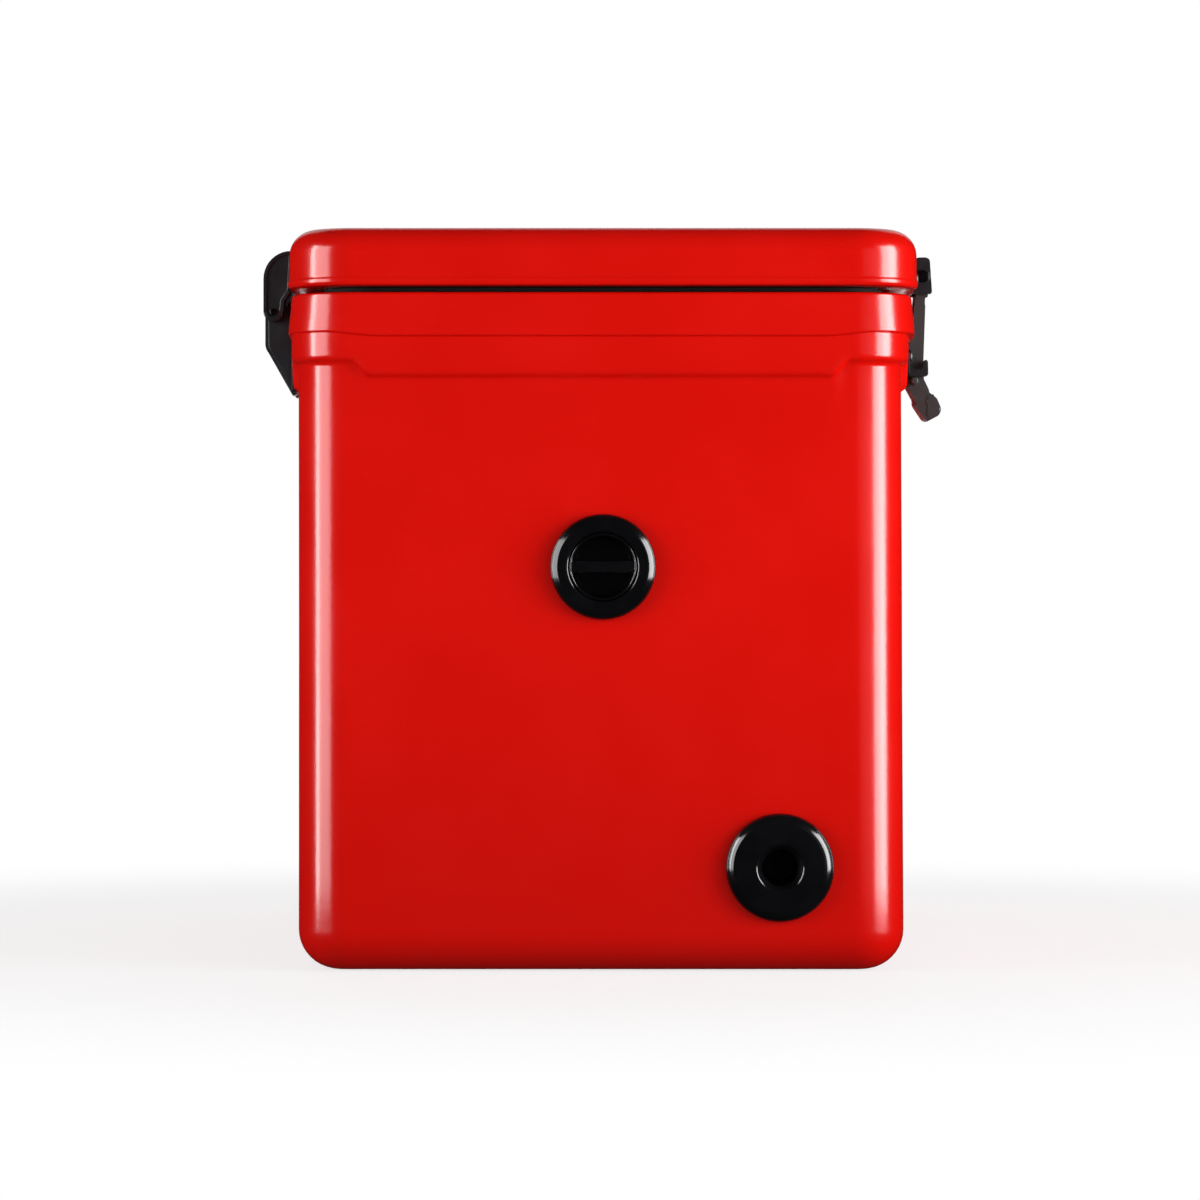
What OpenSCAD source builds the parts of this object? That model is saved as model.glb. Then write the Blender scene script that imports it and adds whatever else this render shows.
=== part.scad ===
/* [Overall size] */
// Length of the lid, along the latch side
lid_length = 720; // [660:10:800]
// Width of the lid, from the latch side to the hinge side
lid_width = 443; // [420:1:480]
// Height from the floor to the top of the lid
total_height = 520; // [480:5:580]
// Radius of the body's four upright corners
corner_radius = 36; // [32:1:42]
// Radius of the lid's four upright corners
lid_corner_radius = 46; // [36:1:50]

/* [Shell] */
// Thickness of the moulded plastic skin
skin = 5; // [4:0.5:6]
// Distance from the outer face to the ice well, with foam between
wall = 45; // [42:1:50]
// Height of the ice well's floor
floor_height = 50; // [48:1:50]
// Rounding of the outer bottom edge
base_edge_radius = 28; // [20:1:30]
// Height of the lid above the seam
lid_height = 42.5; // [38:0.5:48]
// Height of the open seam under the lid
seam = 4.5; // [4:0.5:6]
// Rounding of the lid's top edge
lid_edge_radius = 18; // [14:1:27]
// Height of the plain band at the rim
rim_height = 30; // [26:1:34]

/* [Hinges] */
// Width of one hinge along the lid
hinge_width = 90; // [70:2:110]
// Distance of a hinge's middle from the cooler's middle
hinge_place = 220; // [180:5:240]
// Radius of the hinge pin
hinge_pin_radius = 2.5; // [2:0.25:3]

/* [Latches] */
// Distance of a latch's middle from the cooler's middle
latch_place = 232; // [180:4:248]
// Width of the rubber strap
strap_width = 31; // [26:1:32]
// Radius of the pin that the strap turns on
latch_pin_radius = 3; // [2.5:0.25:3]

/* [End fittings] */
// Height of the screw-in port plug's middle
port_height = 282; // [200:2:320]
// Outer radius of the port's flange
port_flange_radius = 36.75; // [35:0.25:40]
// Distance of the drain from the middle, towards the latch side
drain_offset = 123; // [60:1:130]
// Height of the drain's middle
drain_height = 73; // [72:1:90]
// Outer radius of the drain's flange
drain_flange_radius = 37.75; // [36:0.25:40]
// Radius of the drain's bore
drain_bore_radius = 12.5; // [12.5:0.25:13]

/* [Hidden] */
$fn = 64;

// The +Z axis points up, +X runs along the lid and the latches are on the -Y side.
// The origin is on the floor below the lid's middle. Left is the -X end, which has the port and the drain.
half_length = lid_length / 2;
half_width = lid_width / 2;
wall_step = 9.5;
apron_step = 4.5;
rim_step = 1.5;
wall_half_x = half_length - wall_step;
wall_half_y = half_width - wall_step;
apron_half_y = half_width - apron_step;

// The walls and the rim sit back from the lid's middle, towards the hinges
wall_shift = 2;
rim_shift = 1;
hinge_apron_y = apron_half_y + wall_shift;
latch_apron_y = apron_half_y - wall_shift;
hinge_rim_y = half_width - rim_step + rim_shift;

lid_bottom = total_height - lid_height;
rim_top = lid_bottom - seam;
rim_bottom = rim_top - rim_height;
apron_corner_z = rim_bottom - 18;
apron_end_z = rim_bottom - 28.5;
apron_side_z = rim_bottom - 36;
apron_slope = 14;
apron_corner_length = 57;

// The ice well and the lid's plug that sits in its mouth
well_half_x = wall_half_x - wall;
well_half_y = wall_half_y - wall;
well_corner_radius = 36;
well_floor_radius = 8;
plug_play = 3;
plug_depth = 19.5;
plug_bottom = lid_bottom - plug_depth;
plug_half_x = well_half_x - plug_play;
plug_half_y = well_half_y - plug_play;
plug_corner_radius = well_corner_radius - plug_play;
foam_play = 0.8;
foam_facets = 20;
fill_hole_radius = 12;
fill_plug_play = 0.15;
fill_hole_place = 180;
gasket_inset = 25;
gasket_width = 10;
gasket_play = 0.3;

// Screws and the plates that they hold
screw_radius = 2.4;
screw_hole_radius = 2.5;
screw_head_radius = 4.4;
screw_head_height = 2.2;
screw_length = 12;
leaf_plate = 3.5;
keeper_plate = 4.4;
bracket_plate = 2;

// The hinge's pin line and its arms
pin_y = half_width + 14.15;
pin_z = rim_top - 8;
knuckle_radius = 7;
knuckle_count = 5;
knuckle_gap = 0.5;
knuckle_pitch = (hinge_width + knuckle_gap) / knuckle_count;
knuckle_width = knuckle_pitch - knuckle_gap;
arm_side = 6.95;
running_play = 0.06;
lid_arm_radius = 20;
body_arm_radius = 10;
hinge_lid_screw_z = lid_bottom + 10.5;
hinge_body_screw_z = apron_corner_z;

// The latch: distances out from the middle plane, and heights. Its outlines start from the strap line.
strap_line = half_width - 1.5;
latch_y = strap_line + 9.5;
latch_z = lid_bottom + 13.5;
latch_hub_radius = 5.6;
strap_half = strap_width / 2;
ear_play = 0.5;
ear_thickness = 6.5;
bracket_half = 34;
bracket_screw_x = 29.3;
bracket_screw_z = lid_bottom + 11;
keeper_gap_half = strap_half + 1.5;
keeper_half = 34;
keeper_prong = 6;
keeper_top = rim_bottom - 2;
keeper_low = rim_bottom - 23.6;
keeper_screw_z = rim_bottom - 10;
bulb_radius = 2.8;
bulb_y = strap_line + 3.5;
bulb_z = keeper_low - 3.2;
bulb_reach = 7;

// The end fittings: depths run inwards from the end wall's outer face
fitting_front = -wall_step;
seal_thickness = 1;
sleeve_end = wall + 6;
port_sleeve_radius = 29;
port_bore_radius = 24;
plug_radius = 23.65;
finger_recess_radius = 21.5;
drain_sleeve_radius = 17.5;
drain_seat_radius = drain_bore_radius - 0.5;
drain_step = 26;
fitting_play = 0.1;

function arc(y, z, r, from, to, steps = 8) =
    [for (i = [0:steps]) let (a = from + (to - from) * i / steps) [y + r * cos(a), z + r * sin(a)]];

// ---------- shared shapes ----------

// A rectangle with round corners, given by its half sizes
module plan(half_x, half_y, r) {
    square([2 * half_x, 2 * (half_y - r)], center = true);
    square([2 * (half_x - r), 2 * half_y], center = true);
    for (sx = [-1, 1], sy = [-1, 1])
        translate([sx * (half_x - r), sy * (half_y - r)]) circle(r);
}

module slab(half_x, half_y, r, low, high) {
    translate([0, 0, low]) linear_extrude(high - low) plan(half_x, half_y, r);
}

// A tub form: round upright corners and a rounded bottom edge
module tub(half_x, half_y, r, edge, low, high, facets = 40) {
    rounding = arc(r - edge, edge, edge, -90, 0, facets / 5);
    hull()
        for (sx = [-1, 1], sy = [-1, 1])
            translate([sx * (half_x - r), sy * (half_y - r), low]) rotate_extrude($fn = facets)
                polygon(concat([[0, 0]], rounding, [[r, high - low], [0, high - low]]));
}

// The same form turned over, for the lid
module crown(half_x, half_y, r, edge, low, high) {
    translate([0, 0, high]) mirror([0, 0, 1]) tub(half_x, half_y, r, edge, 0, high - low);
}

// A flat outline in (y, z), made thick from one x to another
module along_x(from, to) {
    translate([from, 0, 0]) rotate([90, 0, 90]) linear_extrude(to - from) children();
}

// An outline of (radius, depth) turned about a line through the end wall
module turned(y, z) {
    translate([-wall_half_x, y, z]) rotate([0, 90, 0]) rotate_extrude() children();
}

module port_turned() { turned(0, port_height) children(); }
module drain_turned() { turned(-drain_offset, drain_height) children(); }

module ring(inner, outer, from, to) {
    translate([inner, from]) square([outer - inner, to - from]);
}

// A screw that points inwards: side is -1 on the latch side and 1 on the hinge side
module screw(x, face_y, z, side) {
    translate([x, side * face_y, z]) rotate([side * 90, 0, 0]) {
        cylinder(r = screw_radius, h = screw_length);
        translate([0, 0, -screw_head_height]) cylinder(r = screw_head_radius, h = screw_head_height);
    }
}

module screw_hole(x, face_y, z, side) {
    translate([x, side * (face_y + 1), z]) rotate([side * 90, 0, 0])
        cylinder(r = screw_hole_radius, h = screw_length + 2);
}

// ---------- places of the screws ----------

module hinge_lid_places() {
    for (side = [-1, 1], k = [-1, 1])
        translate([side * hinge_place + k * knuckle_pitch, 0, 0]) children();
}

module hinge_body_places() {
    for (side = [-1, 1], k = [-2, 0, 2])
        translate([side * hinge_place + k * knuckle_pitch, 0, 0]) children();
}

module bracket_places() {
    for (side = [-1, 1], k = [-1, 1])
        translate([side * latch_place + k * bracket_screw_x, 0, 0]) children();
}

module hinge_lid_holes() {
    hinge_lid_places() screw_hole(0, half_width + leaf_plate, hinge_lid_screw_z, 1);
}

module hinge_body_holes() {
    hinge_body_places() screw_hole(0, hinge_apron_y + leaf_plate, hinge_body_screw_z, 1);
}

module bracket_holes() {
    bracket_places() screw_hole(0, half_width + bracket_plate, bracket_screw_z, -1);
}

module keeper_holes() {
    bracket_places() screw_hole(0, latch_apron_y + keeper_plate, keeper_screw_z, -1);
}

// ---------- body ----------

// The thick band under the rim, whose lower edge dips between the corners
module apron() {
    end_half = apron_half_y - apron_corner_length;
    side_half = half_length - apron_step - apron_corner_length;
    low = apron_side_z;
    difference() {
        slab(half_length - apron_step, apron_half_y, corner_radius + 4, low, rim_bottom);
        for (s = [-1, 1]) {
            translate([s * half_length - 22, 0, 0]) rotate([90, 0, 90]) linear_extrude(44) polygon([
                [-half_width, low - 1], [half_width, low - 1], [half_width, apron_corner_z],
                [end_half + apron_slope, apron_corner_z], [end_half, apron_end_z],
                [-end_half, apron_end_z], [-end_half - apron_slope, apron_corner_z],
                [-half_width, apron_corner_z],
            ]);
            translate([0, s * half_width + 22, 0]) rotate([90, 0, 0]) linear_extrude(44) for (e = [-1, 1])
                polygon([
                    [e * half_length, low - 1], [e * side_half, low - 1], [e * side_half, low],
                    [e * (side_half + apron_slope), apron_corner_z], [e * half_length, apron_corner_z],
                ]);
        }
    }
}

module well_form(grow, low, facets = 40) {
    tub(well_half_x + grow, well_half_y + grow, well_corner_radius + grow,
        well_floor_radius + grow, low, total_height, facets);
}

// The space between the outer skin and the liner; play makes it smaller
module body_foam_space(play, facets = 40) {
    inset = skin + play;
    difference() {
        translate([0, wall_shift, 0]) tub(wall_half_x - inset, wall_half_y - inset, corner_radius - inset,
            base_edge_radius - inset, inset, rim_top - inset, facets);
        well_form(inset, floor_height - inset, facets);
    }
}

module fill_places() {
    for (s = [-1, 1]) translate([s * fill_hole_place, 0, 0]) children();
}

module body_shell() {
    color("red") difference() {
        union() {
            translate([0, wall_shift, 0]) {
                tub(wall_half_x, wall_half_y, corner_radius, base_edge_radius, 0, rim_bottom + 1);
                apron();
            }
            translate([0, rim_shift, 0])
                slab(half_length - rim_step, half_width - rim_step, corner_radius + 6, rim_bottom, rim_top);
        }
        body_foam_space(0);
        well_form(0, floor_height);
        port_turned() ring(0, port_sleeve_radius + fitting_play, -20, wall + 20);
        drain_turned() ring(0, drain_sleeve_radius + fitting_play, -20, wall + 20);
        drain_turned() ring(0, drain_height - floor_height - 1, wall, wall + 12);
        fill_places() translate([0, 0, -1]) cylinder(r = fill_hole_radius, h = skin + 2);
        hinge_body_holes();
        keeper_holes();
    }
}

module body_foam() {
    color("ivory") difference() {
        body_foam_space(foam_play, foam_facets);
        port_turned() ring(0, port_sleeve_radius + foam_play, -20, wall + 20);
        drain_turned() ring(0, drain_sleeve_radius + foam_play, -20, wall + 20);
    }
}

module body_foam_plugs() {
    color("red") fill_places() translate([0, 0, 0.5])
        cylinder(r = fill_hole_radius - fill_plug_play, h = skin - 0.5);
}

// ---------- lid ----------

module lid_foam_space(play) {
    inset = skin + play;
    crown(half_length - inset, half_width - inset, lid_corner_radius - inset,
        lid_edge_radius - inset, lid_bottom + inset, total_height - inset);
    slab(plug_half_x - inset, plug_half_y - inset, plug_corner_radius - inset,
        plug_bottom + inset, lid_bottom + inset + 1);
}

module lid_shell() {
    color("red") difference() {
        union() {
            crown(half_length, half_width, lid_corner_radius, lid_edge_radius, lid_bottom, total_height);
            slab(plug_half_x, plug_half_y, plug_corner_radius, plug_bottom, lid_bottom + 1);
        }
        lid_foam_space(0);
        translate([0, 0, plug_bottom - 1]) cylinder(r = fill_hole_radius, h = skin + 2);
        hinge_lid_holes();
        bracket_holes();
    }
}

module lid_foam() {
    color("ivory") difference() {
        lid_foam_space(foam_play);
        hinge_lid_holes();
        bracket_holes();
    }
}

module lid_foam_plug() {
    color("red") translate([0, 0, plug_bottom + 0.5])
        cylinder(r = fill_hole_radius - fill_plug_play, h = skin - 0.5);
}

module lid_gasket() {
    inner = gasket_inset + gasket_width;
    color("dimgray") difference() {
        slab(half_length - gasket_inset, half_width - gasket_inset, 34, rim_top + gasket_play, lid_bottom);
        slab(half_length - inner, half_width - inner, 24, rim_top, lid_bottom + 1);
    }
}

// ---------- hinges ----------

// The two leaves share five knuckles: three on the lid's leaf and two on the body's leaf
module knuckle_row(side, places) {
    for (k = places)
        along_x(side * hinge_place + k * knuckle_pitch - knuckle_width / 2,
            side * hinge_place + k * knuckle_pitch + knuckle_width / 2) children();
}

module pin_hole(side) {
    along_x(side * hinge_place - hinge_width, side * hinge_place + hinge_width)
        translate([pin_y, pin_z]) circle(hinge_pin_radius + running_play);
}

module leaf_back(side, face_y, low, high) {
    along_x(side * hinge_place - hinge_width / 2, side * hinge_place + hinge_width / 2)
        translate([face_y, low]) square([leaf_plate, high - low]);
}

module hinge_lid_leaf(side) {
    top = lid_bottom + 31;
    color("#1a1a1c") difference() {
        union() {
            leaf_back(side, half_width, lid_bottom + 1.5, lid_bottom + 21);
            knuckle_row(side, [-2, 0, 2]) translate([pin_y, pin_z]) circle(knuckle_radius);
            knuckle_row(side, [-2, 0, 2]) polygon(concat(
                [[half_width + 0.5, lid_bottom + 2], [pin_y - 12, lid_bottom + 2],
                [pin_y - arm_side, pin_z + 8], [pin_y - arm_side, pin_z], [pin_y + arm_side, pin_z]],
                arc(pin_y + arm_side - lid_arm_radius, top - lid_arm_radius, lid_arm_radius, 0, 90),
                [[half_width + 0.3, top - 0.4], [half_width + 0.5, lid_bottom + 20]]));
        }
        hinge_lid_holes();
        pin_hole(side);
    }
}

module hinge_body_leaf(side) {
    low = apron_side_z - 1;
    color("#1a1a1c") difference() {
        union() {
            leaf_back(side, hinge_apron_y, low + 1.5, rim_bottom - 2);
            knuckle_row(side, [-1, 1]) translate([pin_y, pin_z]) circle(knuckle_radius);
            knuckle_row(side, [-1, 1]) polygon(concat(
                [[hinge_apron_y + 0.5, rim_bottom - 3], [hinge_rim_y + 0.5, rim_bottom - 3],
                [hinge_rim_y + 0.5, rim_top - 1], [pin_y - arm_side - 3, rim_top - 1],
                [pin_y - arm_side, pin_z + 2], [pin_y + arm_side, pin_z]],
                arc(pin_y + arm_side - body_arm_radius, rim_bottom, body_arm_radius, 0, -38),
                [[hinge_apron_y + 4, low], [hinge_apron_y + 0.5, low]]));
        }
        hinge_body_holes();
        pin_hole(side);
    }
}

module hinge_pin(side) {
    color("silver")
        along_x(side * hinge_place - hinge_width / 2 - 0.6, side * hinge_place + hinge_width / 2 + 0.6)
            translate([pin_y, pin_z]) circle(hinge_pin_radius);
}

module hinge_lid_screws() {
    color("silver") hinge_lid_places() screw(0, half_width + leaf_plate, hinge_lid_screw_z, 1);
}

module hinge_body_screws() {
    color("silver") hinge_body_places() screw(0, hinge_apron_y + leaf_plate, hinge_body_screw_z, 1);
}

// ---------- latches ----------

// A block given by its sideways reach, its distance out from the middle plane and its height
module latch_block(side, from, to, near, far, low, high) {
    translate([side * latch_place + from, -far, low]) cube([to - from, far - near, high - low]);
}

// A flat outline in (distance out, z), made thick across the latch
module across_latch(side, from, to) {
    translate([side * latch_place + to, 0, 0]) rotate([90, 0, -90]) linear_extrude(to - from) children();
}

module latch_bracket(side) {
    ear_in = strap_half + ear_play;
    ear_out = ear_in + ear_thickness;
    low = lid_bottom + 1.1;
    high = lid_bottom + 27.1;
    color("#1a1a1c") difference() {
        union() {
            latch_block(side, -bracket_half, bracket_half, half_width, half_width + bracket_plate,
                low + 0.9, lid_bottom + 21);
            for (span = [[-ear_out, -ear_in], [ear_in, ear_out]])
                across_latch(side, span[0], span[1]) polygon([
                    [half_width + 0.5, low + 1.5], [strap_line + 4, low], [strap_line + 16, low],
                    [strap_line + 14.4, high - 2], [strap_line + 12.7, high], [strap_line + 8, high],
                    [half_width + 0.5, lid_bottom + 20],
                ]);
        }
        across_latch(side, -bracket_half, bracket_half)
            translate([latch_y, latch_z]) circle(latch_pin_radius + running_play);
        bracket_holes();
    }
}

module latch_pin(side) {
    ear_out = strap_half + ear_play + ear_thickness;
    color("silver") {
        across_latch(side, -ear_out - 0.5, ear_out + 0.5)
            translate([latch_y, latch_z]) circle(latch_pin_radius);
        for (span = [[-ear_out - 2, -ear_out], [ear_out, ear_out + 2]])
            across_latch(side, span[0], span[1]) translate([latch_y, latch_z]) circle(latch_pin_radius + 1.5);
    }
}

// The rubber strap hangs from the pin, passes between the keeper's prongs and ends in a finger grip
module latch_strap(side) {
    color("#3a3a3c") difference() {
        across_latch(side, -strap_half, strap_half) difference() {
            union() {
                translate([latch_y, latch_z]) circle(latch_hub_radius);
                polygon([
                    [latch_y - 5, latch_z - 1], [strap_line + 5.2, rim_top + 2],
                    [strap_line + 0.9, keeper_low + 8],
                    [strap_line + 0.3, keeper_low], [strap_line - 1.8, keeper_low - 6],
                    [strap_line + 4.1, keeper_low - 16.6], [strap_line + 3.4, keeper_low - 19.5],
                    [strap_line + 11, keeper_low - 30.9], [strap_line + 14, keeper_low - 31.8],
                    [strap_line + 22, keeper_low - 27.4], [strap_line + 23.4, keeper_low - 23.4],
                    [strap_line + 20, keeper_low - 15.2], [strap_line + 15.7, keeper_low - 11.9],
                    [strap_line + 13.4, keeper_low - 10.4], [strap_line + 9.2, keeper_low - 2.2],
                    [strap_line + 9.6, keeper_low + 6], [strap_line + 11.4, rim_top + 2],
                    [latch_y + 5, latch_z - 1],
                ]);
            }
            translate([latch_y, latch_z]) circle(latch_pin_radius + running_play);
        }
        // finger hollow in the grip's outer face
        across_latch(side, -strap_half + 4, strap_half - 4)
            translate([strap_line + 31, keeper_low - 14]) circle(10);
    }
}

// The ends of the strap's cross bulb, which hook under the prongs
module strap_bulb(side) {
    color("#3a3a3c")
        for (span = [[-strap_half - bulb_reach, -strap_half], [strap_half, strap_half + bulb_reach]])
            across_latch(side, span[0], span[1]) translate([bulb_y, bulb_z]) circle(bulb_radius);
}

module latch_keeper(side) {
    gap = keeper_gap_half;
    face = latch_apron_y + keeper_plate;
    color("#1a1a1c") difference() {
        union() {
            latch_block(side, -keeper_half, keeper_half, latch_apron_y, face, keeper_top - 7, keeper_top);
            for (span = [[-keeper_half, -gap], [gap, keeper_half]])
                latch_block(side, span[0], span[1], latch_apron_y, face, keeper_low, keeper_top - 6);
            for (span = [[-gap - keeper_prong, -gap], [gap, gap + keeper_prong]])
                across_latch(side, span[0], span[1]) polygon([
                    [latch_apron_y + 0.5, keeper_low], [strap_line + 12.4, keeper_low],
                    [strap_line + 13.2, keeper_low + 1.2],
                    [strap_line + 13, keeper_low + 11], [strap_line + 11.6, keeper_low + 12],
                    [strap_line + 9.4, keeper_low + 11], [strap_line + 9.4, keeper_low + 5],
                    [face + 1, keeper_low + 5], [latch_apron_y + 0.5, keeper_low + 8],
                ]);
        }
        keeper_holes();
    }
}

module bracket_screws() {
    color("silver") bracket_places() screw(0, half_width + bracket_plate, bracket_screw_z, -1);
}

module keeper_screws() {
    color("silver") bracket_places() screw(0, latch_apron_y + keeper_plate, keeper_screw_z, -1);
}

// ---------- port and drain ----------

module port_sleeve() {
    r = port_flange_radius;
    color("#141416") port_turned() polygon([
        [port_bore_radius, fitting_front + 0.6], [port_bore_radius + 0.6, fitting_front],
        [r - 4.4, fitting_front], [r - 2, fitting_front + 0.8], [r - 0.6, fitting_front + 2.4],
        [r, fitting_front + 4.4], [r, -seal_thickness], [port_sleeve_radius, -seal_thickness],
        [port_sleeve_radius, sleeve_end], [port_bore_radius, sleeve_end],
    ]);
}

module port_seal() {
    color("black") port_turned()
        ring(port_sleeve_radius + 0.3, port_flange_radius - 0.6, -seal_thickness, 0);
}

module port_nut() {
    color("#141416") port_turned()
        ring(port_sleeve_radius + fitting_play, port_flange_radius, wall, sleeve_end);
}

// The plug's face is a cup with a bar across it to grip with two fingers
module port_plug() {
    rear = 36;
    groove = 28;
    cup_floor = 6;
    color("#141416") {
        port_turned() polygon([
            [0, cup_floor], [finger_recess_radius, cup_floor], [finger_recess_radius, fitting_front + 1],
            [finger_recess_radius + 0.5, fitting_front + 0.5], [plug_radius - 0.5, fitting_front + 0.5],
            [plug_radius, fitting_front + 1], [plug_radius, groove], [21.4, groove],
            [21.4, groove + 2.9], [plug_radius, groove + 2.9], [plug_radius, rear], [18, rear],
            [18, cup_floor + 6], [0, cup_floor + 6],
        ]);
        translate([-wall_half_x + fitting_front + 0.5, -finger_recess_radius - 0.6, port_height - 4])
            cube([9, 2 * finger_recess_radius + 1.2, 8]);
    }
}

module port_plug_ring() {
    color("black") port_turned() translate([22.7, 29.45]) circle(1.15);
}

module drain_sleeve() {
    r = drain_flange_radius;
    color("#141416") drain_turned() polygon([
        [drain_bore_radius + 3.7, fitting_front], [r - 6.6, fitting_front], [r - 3.6, fitting_front + 0.9],
        [r - 1.2, fitting_front + 2.8], [r, fitting_front + 5], [r, -seal_thickness],
        [drain_sleeve_radius, -seal_thickness], [drain_sleeve_radius, sleeve_end],
        [drain_seat_radius, sleeve_end], [drain_seat_radius, drain_step],
        [drain_bore_radius, drain_step], [drain_bore_radius, fitting_front + 4.6],
    ]);
}

module drain_seal() {
    color("black") drain_turned()
        ring(drain_sleeve_radius + 0.3, drain_flange_radius - 0.6, -seal_thickness, 0);
}

module drain_nut() {
    color("#141416") drain_turned()
        ring(drain_sleeve_radius + fitting_play, drain_height - floor_height - 2, wall, sleeve_end);
}

// The rubber stopper pushes in from the ice well and has a knob to pull
module drain_stopper() {
    seat = drain_seat_radius - 0.15;
    face = sleeve_end + 0.3;
    color("black") drain_turned() polygon([
        [0, drain_step + 6], [seat - 1, drain_step + 6], [seat, drain_step + 8], [seat, face],
        [18, face], [18, face + 3], [7, face + 4.5], [5, face + 8], [8.5, face + 12],
        [8.5, face + 15], [6, face + 17], [0, face + 17],
    ]);
}

body_shell();
body_foam();
body_foam_plugs();
lid_shell();
lid_foam();
lid_foam_plug();
lid_gasket();
hinge_body_leaf(-1);  // hinge_body_leaf_left
hinge_body_leaf(1);  // hinge_body_leaf_right
hinge_lid_leaf(-1);  // hinge_lid_leaf_left
hinge_lid_leaf(1);  // hinge_lid_leaf_right
hinge_pin(-1);  // hinge_pin_left
hinge_pin(1);  // hinge_pin_right
hinge_body_screws();
hinge_lid_screws();
latch_keeper(-1);  // latch_keeper_left
latch_keeper(1);  // latch_keeper_right
keeper_screws();
latch_bracket(-1);  // latch_bracket_left
latch_bracket(1);  // latch_bracket_right
bracket_screws();
latch_pin(-1);  // latch_pin_left
latch_pin(1);  // latch_pin_right
latch_strap(-1);  // latch_strap_left
latch_strap(1);  // latch_strap_right
strap_bulb(-1);  // strap_bulb_left
strap_bulb(1);  // strap_bulb_right
port_sleeve();
port_seal();
port_nut();
port_plug();
port_plug_ring();
drain_sleeve();
drain_seal();
drain_nut();
drain_stopper();
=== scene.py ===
"""Looks of a moulded ice chest: shells, hinges, strap latches, port, drain and the studio around them."""
import math

import bmesh
import bpy
from bpy.props import FloatProperty, FloatVectorProperty, IntProperty, PointerProperty
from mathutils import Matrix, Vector, noise


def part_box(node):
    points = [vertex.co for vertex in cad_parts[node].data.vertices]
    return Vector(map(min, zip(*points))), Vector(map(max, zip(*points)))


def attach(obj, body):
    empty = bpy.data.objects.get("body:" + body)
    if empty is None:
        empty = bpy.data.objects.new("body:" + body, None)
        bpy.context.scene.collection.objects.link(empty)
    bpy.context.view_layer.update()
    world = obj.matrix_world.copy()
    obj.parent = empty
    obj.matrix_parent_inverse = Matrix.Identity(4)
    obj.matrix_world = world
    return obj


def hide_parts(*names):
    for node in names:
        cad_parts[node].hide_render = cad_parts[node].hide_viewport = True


bl_info = {
    "name": "Moulded ice chest",
    "version": (1, 0, 0),
    "blender": (4, 5, 0),
    "location": "View3D > Sidebar > Ice chest",
    "description": "Makes the shells, hinges, strap latches, port and drain of a moulded ice chest",
    "category": "Object",
}

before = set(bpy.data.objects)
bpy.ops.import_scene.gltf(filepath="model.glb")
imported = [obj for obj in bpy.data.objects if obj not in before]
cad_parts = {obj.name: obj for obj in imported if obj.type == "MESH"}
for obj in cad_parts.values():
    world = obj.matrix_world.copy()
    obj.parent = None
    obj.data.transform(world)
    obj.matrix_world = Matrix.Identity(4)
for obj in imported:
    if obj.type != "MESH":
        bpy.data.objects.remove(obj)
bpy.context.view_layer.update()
MM = 0.001


def cad_box(node):
    """A CAD node's lowest and highest corner in millimetres."""
    low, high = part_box(node)
    return low / MM, high / MM


# ---------- sizes, in millimetres, read from the frame or kept with it ----------

BODY_HIGH = cad_box("body_shell")[1]
LID_LOW, LID_HIGH = cad_box("lid_shell")
GASKET_LOW, GASKET_HIGH = cad_box("lid_gasket")
SEAL_HIGH = cad_box("port_seal")[1]
PORT_LOW, PORT_HIGH = cad_box("port_sleeve")
DRAIN_LOW, DRAIN_HIGH = cad_box("drain_sleeve")
LEAF_LOW, LEAF_HIGH = cad_box("hinge_lid_leaf_left")
BODY_LEAF_LOW = cad_box("hinge_body_leaf_left")[0]
PIN_LOW, PIN_HIGH = cad_box("hinge_pin_left")
LATCH_PIN_LOW, LATCH_PIN_HIGH = cad_box("latch_pin_left")
STRAP_LOW, STRAP_HIGH = cad_box("latch_strap_left")
BULB_LOW, BULB_HIGH = cad_box("strap_bulb_left")
KEEPER_LOW, KEEPER_HIGH = cad_box("latch_keeper_left")

LID_X, LID_Y = LID_HIGH.x, LID_HIGH.y
LID_BOTTOM, LID_TOP = GASKET_HIGH.z, LID_HIGH.z
LID_PLUG_BOTTOM = LID_LOW.z
RIM_TOP = BODY_HIGH.z
RIM_BOTTOM = RIM_TOP - 30
END_WALL_X = SEAL_HIGH.x
WALL_STEP = LID_X + END_WALL_X
WALL_X, WALL_Y = -END_WALL_X, LID_Y - WALL_STEP
APRON_OUT = WALL_STEP - 4.5
RIM_OUT = WALL_STEP - 1.5
WALL_SHIFT = 2
RIM_SHIFT = 1
CORNER_RADIUS = 36
LID_CORNER_RADIUS = 46
BASE_RADIUS = 28
LID_EDGE_RADIUS = 18
WALL_THICKNESS = 45
WELL_FLOOR = 50
WELL_CORNER_RADIUS = 36
WELL_FLOOR_RADIUS = 8
LID_PLUG_INSET = WALL_STEP + WALL_THICKNESS + 3
APRON_CORNER_Z = RIM_BOTTOM - 18
APRON_END_Z = RIM_BOTTOM - 28.5
APRON_SIDE_Z = RIM_BOTTOM - 36
APRON_CORNER_LENGTH = 57
APRON_SLOPE = 14
CORNER_STEPS = 16

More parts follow.
